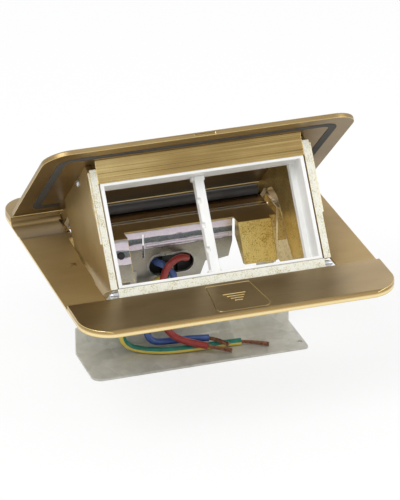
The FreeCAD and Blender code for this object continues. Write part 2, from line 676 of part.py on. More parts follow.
def bottom_rail():
    points = [(-RAIL_H - 0.1, 0), (-0.1, 0), (-0.1, RAIL_DEPTH), (-RAIL_SHELF_T - 0.1, RAIL_DEPTH),
              (-RAIL_SHELF_T - 0.1, RAIL_T + 1.6), (-RAIL_H - 0.1, RAIL_T + 1.6)]
    rail = on_face(points, -CHEEK_IN, CHEEK_IN)
    y, z = face_point(RAIL_PIN_UP, RAIL_PIN_BACK)
    for x0 in (-CHEEK_IN, CHEEK_IN - RAIL_PIN_IN):
        rail = rail.cut(rod_x(x0, x0 + RAIL_PIN_IN, y, z, RAIL_PIN_R))
    return rail


def rail_pins():
    """Steel pins out of both ends of the bottom rail, below the cheeks' front corners."""
    y, z = face_point(RAIL_PIN_UP, RAIL_PIN_BACK)
    pin = rod_x(CHEEK_IN - RAIL_PIN_IN, CHEEK_IN + RAIL_PIN_OUT, y, z, RAIL_PIN_R)
    return Part.makeCompound([pin, mirrored(pin)])


def top_bar():
    """A folded brass profile between the white frame and the lid."""
    low = FRAME_H + 0.05
    ridge = FRAME_H + BAR_FACET_H
    ridge_y, ridge_z = face_point(ridge, 0)
    lean = math.tan(math.radians(TOP_FACET_LEAN))
    lid_y = ridge_y - (LID_UNDER - ridge_z) * lean
    points = [face_point(low, 0), (ridge_y, ridge_z), (lid_y, LID_UNDER),
              (lid_y + TOP_FLANGE_D, LID_UNDER), (lid_y + TOP_FLANGE_D, LID_UNDER - TOP_BAR_T + 0.4),
              (ridge_y + TOP_BAR_T + 0.6, LID_UNDER - TOP_BAR_T + 0.4),
              face_point(ridge - 1.0, TOP_BAR_T), face_point(low, TOP_BAR_T)]
    return polygon_yz(points, -CHEEK_IN, CHEEK_IN)


def support_frame():
    """The white frame: a deep rim with clip rails at its rear."""
    half = FRAME_W / 2
    rim = on_face([(0, 0), (FRAME_H, 0), (FRAME_H, FRAME_DEPTH), (0, FRAME_DEPTH)], -half, half)
    inside = half - FRAME_SIDE_T
    sill = FRAME_SILL_T
    top = FRAME_H - FRAME_SILL_T
    hole = on_face([(sill, -1), (top, -1), (top, FRAME_DEPTH + 1), (sill, FRAME_DEPTH + 1)], -inside, inside)
    rim = rim.cut(hole)
    clip_from = FRAME_DEPTH - CLIP_DEPTH
    for x0 in (-inside, inside - CLIP_T):
        rim = rim.fuse(on_face([(sill, clip_from), (top, clip_from), (top, FRAME_DEPTH), (sill, FRAME_DEPTH)],
                               x0, x0 + CLIP_T))
    return rim.removeSplitter()


def centre_bar():
    """The upright between the two modules, with a foot at each end and clip teeth."""
    half = CENTRE_BAR_W / 2
    low = FRAME_SILL_T
    high = FRAME_H - FRAME_SILL_T
    front = FRAME_DEPTH - CENTRE_BAR_DEPTH - 2.0
    back = front + CENTRE_BAR_DEPTH
    bar = on_face([(low, front), (high, front), (high, back), (low, back)], -half, half)
    foot_half = CENTRE_FOOT_W / 2
    for start in (low, high - CENTRE_FOOT_H):
        end = start + CENTRE_FOOT_H
        bar = bar.fuse(on_face([(start, front + 1), (end, front + 1), (end, back), (start, back)],
                               -foot_half, foot_half))
    spacing = (high - low) / (TEETH + 1)
    for index in range(TEETH):
        middle = low + spacing * (index + 1)
        notch = on_face([(middle - 1.6, front - 1), (middle + 1.6, front - 1), (middle + 1.0, front + 1.6),
                         (middle - 1.0, front + 1.6)], -half - 1, -half + 1.4)
        bar = bar.cut(notch)
    return bar.removeSplitter()


def torsion_spring():
    """A lid spring round the hinge pin, between the inner boss and the arm."""
    length = SPRING_TURNS * (2 * SPRING_WIRE_R + 0.15)
    start = Vector(INNER_BOSS_X + INNER_BOSS_W + SPRING_WIRE_R + 0.2, HINGE_Y, HINGE_Z)
    return coil(SPRING_TURNS, length, SPRING_MEAN_R, SPRING_WIRE_R, start, X_AXIS)


# Fixed inner parts

def hinge_pin():
    return rod_x(-PIN_LENGTH / 2, PIN_LENGTH / 2, HINGE_Y, HINGE_Z, PIN_R)


def hinge_cover():
    z = COVE_BOTTOM + COVER_R - COVER_FLAT
    strip = rod_x(-COVER_HALF, COVER_HALF, COVER_Y, z, COVER_R)
    ends = [edge for edge in strip.Edges if edge.BoundBox.XLength < 1e-4]
    strip = strip.makeFillet(COVER_R * 0.5, ends)
    return strip.cut(box(-COVER_HALF - 1, COVER_HALF + 1, COVER_Y - 5, COVER_Y + 5, -2, COVE_BOTTOM))


def oval(width, height, y0, y1):
    half = (width - height) / 2
    radius = height / 2
    middle = box(OVAL_X - half, OVAL_X + half, y0, y1, OVAL_Z - radius, OVAL_Z + radius)
    for side in (-1, 1):
        end = Part.makeCylinder(radius, y1 - y0, Vector(OVAL_X + side * half, y0, OVAL_Z), Y_AXIS)
        middle = middle.fuse(end)
    return middle


def cable_bracket():
    """The upper bracket: a sheet that hangs from the recess, with an oval hole for the leads."""
    y0 = CABLE_BRACKET_Y
    y1 = y0 + SHEET_T
    top = UNDER_RECESS
    left = CABLE_BRACKET_LEFT
    right = CABLE_BRACKET_RIGHT
    outline = [(left, top), (right, top), (right, -12.0), (right - 2.0, CABLE_BRACKET_HIGH + 0.8),
               (right - 7.3, CABLE_BRACKET_HIGH), (right - 14.0, CABLE_BRACKET_HIGH), (right - 18.0, CABLE_BRACKET_LOW), (left, CABLE_BRACKET_LOW)]
    sheet = polygon_xz(outline, y0, y1)
    flange = box(left, right, y0, y0 + BRACKET_FLANGE_D, top - SHEET_T, top)
    bead = rod_x(BEAD_LEFT, right - 2, y0 + 0.4, BEAD_Z, BEAD_R)
    sheet = sheet.fuse(flange).fuse(bead)
    rim = oval(OVAL_W + 2 * OVAL_RIM, OVAL_H + 2 * OVAL_RIM, y0 - 0.6, y1)
    sheet = sheet.fuse(rim).cut(oval(OVAL_W, OVAL_H, y0 - 2, y1 + 2))
    hole = Part.makeCylinder(SCREW_HOLE_R, 4, Vector(SCREW_HOLE_X, y0 - 1, SCREW_HOLE_Z), Y_AXIS)
    slit = box(SLIT_X, SLIT_X + SLIT_W, y0 - 1, y1 + 1, SLIT_LOW, SLIT_HIGH)
    sheet = sheet.cut(hole).cut(slit).fuse(bent_tab(y0))
    for x in FLANGE_SCREWS_X:
        sheet = sheet.cut(Part.makeCylinder(SCREW_R + PIN_CLEARANCE, 4, Vector(x, FLANGE_SCREW_Y, -3), Z_AXIS))
    return sheet.removeSplitter()


def bent_tab(y0):
    """A small tab folded forward and up out of the bracket."""
    x1 = TAB_X + TAB_W
    foot = box(TAB_X, x1, y0 - TAB_REACH, y0 + 0.1, TAB_LOW, TAB_LOW + SHEET_T)
    return foot.fuse(box(TAB_X, x1, y0 - TAB_REACH, y0 - TAB_REACH + SHEET_T, TAB_LOW, TAB_HIGH))


def bottom_bracket():
    """The lower bracket: a bottom plate and a rear wall with two uprights."""
    low = BOTTOM_Z - SHEET_T
    plate = box(BOTTOM_LEFT, BOTTOM_RIGHT, BOTTOM_FRONT_Y, WALL_Y + SHEET_T, low, BOTTOM_Z)
    for radius, side in ((BOTTOM_LEFT_R, -1), (BOTTOM_RIGHT_R, 1)):
        plate = plate.makeFillet(radius, vertical_edges(plate, lambda centre: centre.y < 0 < side * centre.x))
    plate = plate.cut(Part.makeCylinder(BOTTOM_HOLE_R, 4, Vector(BOTTOM_HOLE_X, BOTTOM_HOLE_Y, low - 1), Z_AXIS))
    wall = polygon_xz([(BOTTOM_LEFT, low), (BOTTOM_RIGHT, low), (BOTTOM_RIGHT, WING_TOP),
                       (UPRIGHT_RIGHT[1], WING_TOP + WING_RISE), (UPRIGHT_RIGHT[1], UPRIGHT_TOP),
                       (UPRIGHT_RIGHT[0], UPRIGHT_TOP), (UPRIGHT_RIGHT[0], WALL_RIGHT_TOP),
                       (WALL_RIGHT_FROM, WALL_RIGHT_TOP), (WALL_RIGHT_FROM, WALL_MIDDLE_TOP),
                       (UPRIGHT_LEFT[1], WALL_MIDDLE_TOP), (UPRIGHT_LEFT[1], UPRIGHT_TOP),
                       (UPRIGHT_LEFT[0], UPRIGHT_TOP), (UPRIGHT_LEFT[0], WING_TOP + WING_RISE),
                       (BOTTOM_LEFT, WING_TOP)], WALL_Y, WALL_Y + SHEET_T)
    bracket = plate.fuse(wall)
    for x in (-BOSS_X, BOSS_X):
        bracket = bracket.cut(Part.makeCylinder(SCREW_R + PIN_CLEARANCE, 4, Vector(x, WALL_Y - 1, BRACKET_SCREW_Z),
                                                Y_AXIS))
    return bracket.removeSplitter()


def screw(head_at, way):
    """A slotted pan head screw: the head's seat at a point, the shank along the way."""
    head = Part.makeCylinder(SCREW_HEAD_R, SCREW_HEAD_T, head_at, way * -1)
    side = way.cross(Vector(0.3, 0.5, 0.8))
    side.normalize()
    across = way.cross(side)
    corner = head_at - way * SCREW_HEAD_T - side * SCREW_HEAD_R - across * (SCREW_SLOT_W / 2)
    slot = Part.makeBox(2 * SCREW_HEAD_R, SCREW_SLOT_W, SCREW_SLOT_DEPTH)
    slot.Placement = FreeCAD.Placement(corner, FreeCAD.Rotation(side, across, way, "ZXY"))
    shank = Part.makeCylinder(SCREW_R, SCREW_LENGTH, head_at, way)
    return head.cut(slot).fuse(shank)


def bracket_screws():
    """Two screws from behind, through the lower bracket's uprights into the cast walls."""
    seats = [Vector(x, WALL_Y + SHEET_T, BRACKET_SCREW_Z) for x in (-BOSS_X, BOSS_X)]
    return Part.makeCompound([screw(seat, Y_AXIS * -1) for seat in seats])


def flange_screws():
    screws = [short_screw(Vector(x, FLANGE_SCREW_Y, UNDER_RECESS - SHEET_T)) for x in FLANGE_SCREWS_X]
    return Part.makeCompound(screws)


def short_screw(seat):
    head = Part.makeCylinder(SCREW_HEAD_R, SCREW_HEAD_T, seat, Z_AXIS * -1)
    shank = Part.makeCylinder(SCREW_R, SHEET_T, seat, Z_AXIS)
    return head.fuse(shank)


def terminal_block():
    """A three way connector strip behind the upper bracket, where the leads end."""
    y0 = BLOCK_Y
    block = box(BLOCK_X - BLOCK_W / 2, BLOCK_X + BLOCK_W / 2, y0, y0 + BLOCK_D,
                BLOCK_Z - BLOCK_H / 2, BLOCK_Z + BLOCK_H / 2)
    for index in (-1.5, -0.5, 0.5, 1.5):
        x = BLOCK_X + index * LEAD_PITCH
        block = block.cut(box(x - BLOCK_SLOT_W / 2, x + BLOCK_SLOT_W / 2, y0 - 1, y0 + BLOCK_SLOT_DEPTH,
                              BLOCK_Z - BLOCK_H, BLOCK_Z + BLOCK_H))
    for side in (-1, 1):
        x = BLOCK_X + side * (BLOCK_W - POST_W) / 2
        block = block.fuse(box(x - POST_W / 2, x + POST_W / 2, CABLE_BRACKET_Y + SHEET_T, y0,
                               BLOCK_Z - POST_H / 2, BLOCK_Z + POST_H / 2))
    return block.removeSplitter()


# Leads

def lead_path(points):
    """Straight runs joined by tangent arcs, each as large as its two runs allow."""
    corners = [Vector(*point) for point in points]
    edges = []
    length = 0.0
    radii = []
    at = corners[0]
    for before, corner, after in zip(corners, corners[1:], corners[2:]):
        way_in = corner - before
        way_out = after - corner
        shorter = min(way_in.Length, way_out.Length)
        way_in.normalize()
        way_out.normalize()
        turn = way_in.getAngle(way_out)
        cut = 0.45 * shorter
        radius = cut / math.tan(turn / 2)
        start = corner - way_in * cut
        end = corner + way_out * cut
        bisector = way_out - way_in
        bisector.normalize()
        middle = corner + bisector * (radius / math.cos(turn / 2) - radius)
        edges.append(Part.LineSegment(at, start).toShape())
        edges.append(Part.Arc(start, middle, end).toShape())
        length += (start - at).Length + radius * turn
        radii.append(radius)
        at = end
    edges.append(Part.LineSegment(at, corners[-1]).toShape())
    length += (corners[-1] - at).Length
    return Part.Wire(edges), length, radii


def lead(colour):
    points = LEAD_ROUTES[colour]
    path, length, radii = lead_path(points)
    start = Vector(*points[0])
    way = Vector(*points[1]) - start
    ring = Part.Wire(Part.makeCircle(LEAD_D / 2, start, way))
    tube = path.makePipeShell([ring], True, False)
    share = tube.Volume / (math.pi * LEAD_D * LEAD_D / 4 * length)
    print("lead", colour, "length", round(length, 1), "volume share", round(share, 4),
          "least radius", round(min(radii), 1), "radii", [round(radius) for radius in radii])
    return tube


def core(colour):
    """The bare copper end of a lead."""
    start = Vector(*LEAD_ROUTES[colour][-1])
    last = start - Vector(*LEAD_ROUTES[colour][-2])
    last.normalize()
    bend = start + last * CORE_STUB
    stub = rod(start, bend, CORE_D / 2)
    tip = rod(bend, Vector(*CORE_TIPS[colour]), CORE_D / 2)
    return stub.fuse(tip).fuse(Part.makeSphere(CORE_D / 2, bend)).removeSplitter()


def main():
    fixed = {
        "base_plate": base_plate(),
        "hinge_pin": hinge_pin(),
        "hinge_cover": hinge_cover(),
        "cable_bracket": cable_bracket(),
        "bottom_bracket": bottom_bracket(),
        "bracket_screws": bracket_screws(),
        "flange_screws": flange_screws(),
        "terminal_block": terminal_block(),
        "latch_housing": latch_housing(),
        "latch_bolt": latch_bolt(),
        "latch_spring": latch_spring(),
        "release_button": release_button(),
        "button_springs": button_springs(),
    }
    for colour in LEAD_ROUTES:
        fixed["lead_" + colour] = lead(colour)
        fixed["core_" + colour] = core(colour)
    right_cheek = cheek_right()
    right_spring = torsion_spring()
    carried = {
        "lid_plate": lid_plate(),
        "lid_seal": lid_seal(),
        "cheek_right": right_cheek,
        "cheek_left": mirrored(right_cheek),
        "lid_rivets": lid_rivets(),
        "bottom_rail": bottom_rail(),
        "rail_pins": rail_pins(),
        "top_bar": top_bar(),
        "support_frame": support_frame(),
        "centre_bar": centre_bar(),
        "lid_spring_right": right_spring,
        "lid_spring_left": mirrored(right_spring),
    }
    parts = dict(fixed)
    for name, shape in carried.items():
        parts[name] = opened(shape)
    os.makedirs("parts", exist_ok=True)
    for name, shape in parts.items():
        shape.exportStep(os.path.join("parts", name + ".step"))
        bounds = shape.BoundBox
        print(name, "solids", len(shape.Solids), "valid", shape.isValid(), "volume", round(shape.Volume, 1),
              "z", round(bounds.ZMin, 1), round(bounds.ZMax, 1))


main()
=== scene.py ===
# %% [markdown]
# # A brass pop-up floor socket
# The real thing is a cast brass flange that lies on the floor, a lid that springs up with a
# carrier for two wiring modules, and a release button in the front bar. The solids come from
# the CAD model, so this script only dresses them: it rounds the edges that a caster or a
# press would leave round, adds the small wound and stranded pieces, and gives every piece
# the finish it has on the real object. Some finishes also carry painted light and shade: edge and
# rim highlights, reflections in the cove, and lighter and darker copies of the brass.

# %% Load the imported model
import math

import bmesh
import bpy
from mathutils import Matrix, Vector


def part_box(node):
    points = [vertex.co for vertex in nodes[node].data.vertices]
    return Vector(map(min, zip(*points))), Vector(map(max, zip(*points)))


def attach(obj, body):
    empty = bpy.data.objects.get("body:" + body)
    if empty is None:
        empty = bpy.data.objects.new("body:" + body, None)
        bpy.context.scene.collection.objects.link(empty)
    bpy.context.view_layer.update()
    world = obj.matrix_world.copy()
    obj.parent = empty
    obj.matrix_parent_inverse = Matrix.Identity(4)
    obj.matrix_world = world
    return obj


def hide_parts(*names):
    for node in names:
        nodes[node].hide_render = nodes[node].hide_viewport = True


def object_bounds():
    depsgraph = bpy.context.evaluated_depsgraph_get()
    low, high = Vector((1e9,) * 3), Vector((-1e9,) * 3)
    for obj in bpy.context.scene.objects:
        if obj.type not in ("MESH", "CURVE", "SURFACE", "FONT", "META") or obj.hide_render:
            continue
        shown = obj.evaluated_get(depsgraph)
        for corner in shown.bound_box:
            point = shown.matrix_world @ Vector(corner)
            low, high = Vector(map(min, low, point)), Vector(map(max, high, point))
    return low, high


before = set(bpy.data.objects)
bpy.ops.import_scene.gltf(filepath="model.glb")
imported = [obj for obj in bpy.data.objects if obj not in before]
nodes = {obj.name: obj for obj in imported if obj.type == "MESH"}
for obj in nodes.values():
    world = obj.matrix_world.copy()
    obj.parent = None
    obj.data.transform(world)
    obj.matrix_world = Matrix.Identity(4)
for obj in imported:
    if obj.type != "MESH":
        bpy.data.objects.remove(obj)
cad_low, cad_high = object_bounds()
MM = 0.001
print("nodes", len(nodes), "box", [round(v, 4) for v in (*cad_low, *cad_high)])

# %% [markdown]
# ## Camera
# The photograph was taken from the front left, a little above the flange, with a long lens.
# The camera was fitted to the corners of the flange, the lid and the white frame, so the
# angles below are the fitted ones and the lens is as long as the perspective asks for.

# %% Camera at the photograph's angle
AZIMUTH = math.radians(-18.09)
ELEVATION = math.radians(25.94)
ROLL = math.radians(-0.36)
DISTANCE = 1780.669 * MM
SIDE_SHIFT = -1.959 * MM
UP_SHIFT = 0.279 * MM
LENS = 264.9

back = Vector((math.sin(AZIMUTH) * math.cos(ELEVATION), -math.cos(AZIMUTH) * math.cos(ELEVATION),
               math.sin(ELEVATION)))
level_right = (-back).cross(Vector((0, 0, 1))).normalized()
level_up = level_right.cross(-back)
right = level_right * math.cos(ROLL) + level_up * math.sin(ROLL)
up = level_up * math.cos(ROLL) - level_right * math.sin(ROLL)

camera_data = bpy.data.cameras.new("camera")
camera_data.lens = LENS
camera_data.sensor_width = 36
camera_data.clip_end = 20
camera = bpy.data.objects.new("camera", camera_data)
bpy.context.scene.collection.objects.link(camera)
turn = Matrix((right, up, back)).transposed().to_4x4()
camera.matrix_world = Matrix.Translation(back * DISTANCE - right * SIDE_SHIFT - up * UP_SHIFT) @ turn
bpy.context.scene.camera = camera
print("camera at", [round(v, 3) for v in camera.location])

# %% [markdown]
# ## One helper for nodes, one for colours
# A finish is a small tree of nodes. One function adds a node with its settings and links,
# and one turns the hex colours that a maker would quote into the linear values that the
# shader works in.


# %% Node and colour helpers
def linear(hex_colour):
    """An sRGB hex colour as the linear RGBA that shader sockets take."""
    channels = [int(hex_colour[i:i + 2], 16) / 255 for i in (1, 3, 5)]
    return [c / 12.92 if c <= 0.04045 else ((c + 0.055) / 1.055) ** 2.4 for c in channels] + [1.0]


def add(tree, kind, inputs=(), out=None, to=None, stops=(), **settings):
    """Adds a node with its settings. inputs gives its sockets by name or number, or as a list in their
    order, each as a value or another node's output. stops are a ramp's (position, hex colour) pairs.
    out asks for one output in place of the node, and to is the socket that the first output feeds."""
    node = tree.nodes.new(kind)
    for name, value in settings.items():
        setattr(node, name, value)
    for name, value in inputs.items() if isinstance(inputs, dict) else enumerate(inputs):
        if isinstance(value, bpy.types.NodeSocket):
            tree.links.new(value, node.inputs[name])
        else:
            node.inputs[name].default_value = value
    for index, (position, colour) in enumerate(stops):
        if index > 1:
            node.color_ramp.elements.new(0.5)
    for element, (position, colour) in zip(node.color_ramp.elements if stops else (), stops):
        element.position = position
        element.color = linear(colour)
    if to is not None:
        tree.links.new(node.outputs[0], to)
    return node if out is None else node.outputs[out]


def new_material(name):
    """An empty material with its Principled shader, and its object coordinates."""
    material = bpy.data.materials.new(name)
    material.use_nodes = True
    tree = material.node_tree
    tree.nodes.clear()
    shader = add(tree, "ShaderNodeBsdfPrincipled")
    add(tree, "ShaderNodeOutputMaterial", {"Surface": shader.outputs["BSDF"]})
    place = add(tree, "ShaderNodeTexCoord", out="Object")
    return material, tree, shader, place


def pattern(tree, place, size_mm, stretch=(1, 1, 1), detail=3.0, roughness=0.5):
    """A cloudy pattern whose patches are size_mm across, drawn out along an axis by stretch."""
    scale = [1 / (size_mm * MM * s) for s in stretch]
    mapped = add(tree, "ShaderNodeMapping", {"Vector": place, "Scale": scale}, out="Vector")
    return add(tree, "ShaderNodeTexNoise", {"Vector": mapped, "Scale": 1.0, "Detail": detail,
                                            "Roughness": roughness}, out="Fac")


# %% [markdown]
# ## Brushed antique brass
# The lid, the flange and the bar above the modules are brass, brushed along the long side
# with a fine belt, stained brown and lacquered. To the eye that is a dark gold with hair-fine
# streaks along X and a soft, drawn-out highlight.


# %% Brushed antique brass
def brushed_brass(name, dark, mid, light, roughness=0.36, belt_mm=0.22, depth=0.35, metallic=0.86,
                  highlight_heights=None):
    """Metal with streaks along X. belt_mm is the width of a streak, coarser than real so it shows.
    highlight_heights are (mm, hex colour) steps up Z, a painted highlight along a rim's lower edge."""
    material, tree, shader, place = new_material(name)
    streaks = pattern(tree, place, belt_mm, stretch=(160, 1, 1), detail=3, roughness=0.55)
    cloud = pattern(tree, place, 34, stretch=(2.0, 1, 1), detail=3, roughness=0.6)
    stain = add(tree, "ShaderNodeMapRange", [cloud, 0, 1, 0.14, 0.86], out=0)
    streaked = add(tree, "ShaderNodeMapRange", [streaks, 0, 1, 0.5 - depth / 2, 0.5 + depth / 2], out=0)
    both = add(tree, "ShaderNodeMath", [streaked, stain], operation="ADD", out=0)
    tone = add(tree, "ShaderNodeMapRange", [both, 0.7, 1.3], out=0)
    colour = add(tree, "ShaderNodeValToRGB", [tone], out=0, stops=[(0.0, dark), (0.5, mid), (1.0, light)])
    grit_and_band_mix = pattern(tree, place, 0.55, detail=1)
    speck = add(tree, "ShaderNodeMapRange", [grit_and_band_mix, 0.3, 0.7, 0.0, 0.16], out=0)
    colour = add(tree, "ShaderNodeMix", {0: speck, 6: colour, 7: linear(dark)}, out=2, data_type="RGBA")
    # painted highlight: colour steps up Z brighten a rim's lower edge and shade its top
    if highlight_heights:
        up = add(tree, "ShaderNodeSeparateXYZ", {"Vector": place}, out="Z")
        top = highlight_heights[-1][0]
        height = add(tree, "ShaderNodeMapRange", [up, 0, top * MM], out=0)
        stops = [(at / top, shade) for at, shade in highlight_heights]
        steps = add(tree, "ShaderNodeValToRGB", [height], out=0, stops=stops)
        colour = add(tree, "ShaderNodeMix", {0: 0.85, 6: colour, 7: steps}, out=2, data_type="RGBA")
    tree.links.new(colour, shader.inputs["Base Color"])
    shader.inputs["Metallic"].default_value = metallic
    add(tree, "ShaderNodeMapRange", [streaks, 0.3, 0.7, roughness - 0.05, roughness + 0.06],
        to=shader.inputs["Roughness"])
    add(tree, "ShaderNodeBump", {"Height": streaks, "Distance": 0.012 * MM, "Strength": 0.35},
        to=shader.inputs["Normal"])
    return material


antique_brass = brushed_brass("brushed antique brass", "#7C6A48", "#998259", "#B59D70")
bar_brass = brushed_brass("brushed bar brass", "#705A35", "#A58C58", "#D8C28A", roughness=0.3, belt_mm=0.7,
                          depth=0.8)
cheek_brass = brushed_brass("fettled cast brass", "#8A7347", "#A68E5E", "#BCA576", roughness=0.42,
                            depth=0.12, metallic=0.7)
# painted light: the recess is given a lighter copy of the brushed brass
recess_brass_painted_light = brushed_brass("brushed recess brass, painted light", "#8C7549", "#A88E5D", "#C0A676", roughness=0.5,
                            metallic=0.62)
# painted shade: the front bar and the button are given a darker copy of the brushed brass
front_brass_painted_shade = brushed_brass("brushed front bar brass, painted shade", "#706044", "#8F7A54", "#AA946A", roughness=0.32)
# painted highlight along the rim's lower edge, shading to brown at the top
RIM_HIGHLIGHT_STEPS = [(0, "#B08F54"), (0.5, "#F0DAA2"), (1.4, "#F4E0AC"), (2.1, "#A88A56"), (3.5, "#7F6945")]
rim_brass_painted_highlight = brushed_brass("rim brass, painted highlight", "#A5874E", "#CDB077", "#E8D29C", roughness=0.26,
                          depth=0.15, highlight_heights=RIM_HIGHLIGHT_STEPS)
# painted highlight: a brighter brass for the bevels' faces and the cheeks' outer rib
highlight_brass = brushed_brass("brass with painted highlight", "#B79B5E", "#D9BF80", "#F0DFA9", roughness=0.24)
print("made", [material.name for material in bpy.data.materials])

# %% [markdown]
# ## Polished cove
# The cove in front of the hinge is turned and polished, so it shows its surroundings as lines
# along X. They could come from reflections alone, but the studio here is plainer than the real
# room, so a ramp across Y draws them where the real lines lie.

# %% Polished cove
cove_brass, tree, shader, place = new_material("polished cove brass")
across = add(tree, "ShaderNodeSeparateXYZ", {"Vector": place}, out="Y")
COVE_FRONT, COVE_BACK = 35 * MM, 50 * MM
# painted reflections across the cove: bright lines and dark bands of shade
PAINTED_COVE_REFLECTIONS = [(0.0, "#5E4826"), (0.03, "#F2DDA8"), (0.09, "#E9CF98"), (0.11, "#3A2A14"), (0.20, "#6B512E"),
         (0.23, "#F0D79C"), (0.30, "#E5C588"), (0.32, "#4A3619"), (0.42, "#A67E48"), (0.56, "#B98F55"),
         (0.70, "#7E5D33"), (0.85, "#3E3018"), (1.0, "#2A2418")]
along_arc = add(tree, "ShaderNodeMapRange", [across, COVE_FRONT, COVE_BACK], out=0)
add(tree, "ShaderNodeValToRGB", [along_arc], to=shader.inputs["Base Color"], stops=PAINTED_COVE_REFLECTIONS)
shader.inputs["Metallic"].default_value = 0.55
shader.inputs["Roughness"].default_value = 0.22
add(tree, "ShaderNodeBump", {"Height": pattern(tree, place, 0.5, stretch=(60, 1, 1)), "Distance": 0.01 * MM,
                             "Strength": 0.3}, to=shader.inputs["Normal"])
print("made", cove_brass.name)

# %% [markdown]
# ## Cut and cast brass
# The front edges of the cheeks, the rail below the frame and the tongues are left as they
# come from the mould and the saw: pale yellow, glittering and pitted. Noise at two grain sizes
# gives the sparkle and the pits. The near-white of the sawn faces is partly a painted highlight,
# for light glaring off faces that look up and forward.


# %% Rough cast brass
def rough_brass(name, pit, gold, pale, grain_mm=0.45, pits=0.42, metallic=0.6, rough=0.42, dent_mm=0.12):
    """Cast metal: grain sets the size of the glittering grains, pits how many of them are dark."""
    material, tree, shader, place = new_material(name)
    grain = pattern(tree, place, grain_mm, detail=2, roughness=0.7)
    coarse = pattern(tree, place, grain_mm * 9, detail=2)
    patches = add(tree, "ShaderNodeMapRange", [coarse, 0, 1, 0.3, 0.7], out=0)
    both = add(tree, "ShaderNodeMath", [grain, patches], operation="ADD", out=0)
    tone = add(tree, "ShaderNodeMapRange", [both, 0.7, 1.3], out=0)
    stops = [(0.0, pit), (pits, gold), (pits + 0.14, pale), (1.0, pale)]
    add(tree, "ShaderNodeValToRGB", [tone], to=shader.inputs["Base Color"], stops=stops)
    shader.inputs["Metallic"].default_value = metallic
    shader.inputs["Roughness"].default_value = rough
    add(tree, "ShaderNodeBump", {"Height": both, "Distance": dent_mm * MM, "Strength": 0.8},
        to=shader.inputs["Normal"])
    return material


# partly painted highlight: the near-white stops stand for light glaring off the sawn faces
sawn_brass_and_highlight = rough_brass("sawn cast brass, partly painted highlight", "#5E4E28", "#C9C3A2", "#DDDCD0", grain_mm=0.5, pits=0.32)
tongue_brass = rough_brass("cast brass", "#57471C", "#C0A252", "#DCC67E", grain_mm=0.55, pits=0.36,
                           metallic=0.7, rough=0.36)
wall_brass = rough_brass("cast brass wall", "#A98F52", "#C4A863", "#DCC383", grain_mm=0.9, pits=0.4,
                         metallic=0.75, rough=0.4, dent_mm=0.05)
print("made", sawn_brass_and_highlight.name, "and", tongue_brass.name)

# %% [markdown]
# ## White moulded frame
# The module frame is injection-moulded ABS with a satin skin, a cool white with faint clouds and
# the fine grain of the mould. The same tree makes the black mouldings and the rubbers, which
# differ from it in colour and roughness alone.


# %% Moulded ABS
def moulded_plastic(name, colour, shade, roughness=0.38, grain_mm=0.6):
    """A moulded skin. grain_mm is coarser than the real mould's grain, so that it shows."""
    material, tree, shader, place = new_material(name)
    grain = pattern(tree, place, grain_mm, detail=3)
    cloud = pattern(tree, place, 14, detail=2)
    add(tree, "ShaderNodeValToRGB", [cloud], to=shader.inputs["Base Color"],
        stops=[(0.25, shade), (0.7, colour)])
    add(tree, "ShaderNodeMapRange", [grain, 0.3, 0.7, roughness - 0.05, roughness + 0.08],
        to=shader.inputs["Roughness"])
    add(tree, "ShaderNodeBump", {"Height": grain, "Distance": 0.01 * MM, "Strength": 0.4},
        to=shader.inputs["Normal"])
    return material


white_abs = moulded_plastic("satin white ABS", "#F1F1EE", "#E3E4E2")
black_abs = moulded_plastic("black ABS", "#1C1C1D", "#141415", roughness=0.5)
black_rubber = moulded_plastic("black EPDM rubber", "#66686D", "#505257", roughness=0.6)
grey_rubber = moulded_plastic("grey seal rubber", "#4A4A47", "#3D3D3B", roughness=0.7)
print("made the plastics and rubbers")

# %% [markdown]
# ## Galvanised sheet and zinc
# The two brackets are pressed from galvanised sheet. The zinc coat has large soft crystals and
# reads as grey with a pink or blue cast where it was passivated. Bands at set heights on the galvanised
# finish are painted shade and highlights.


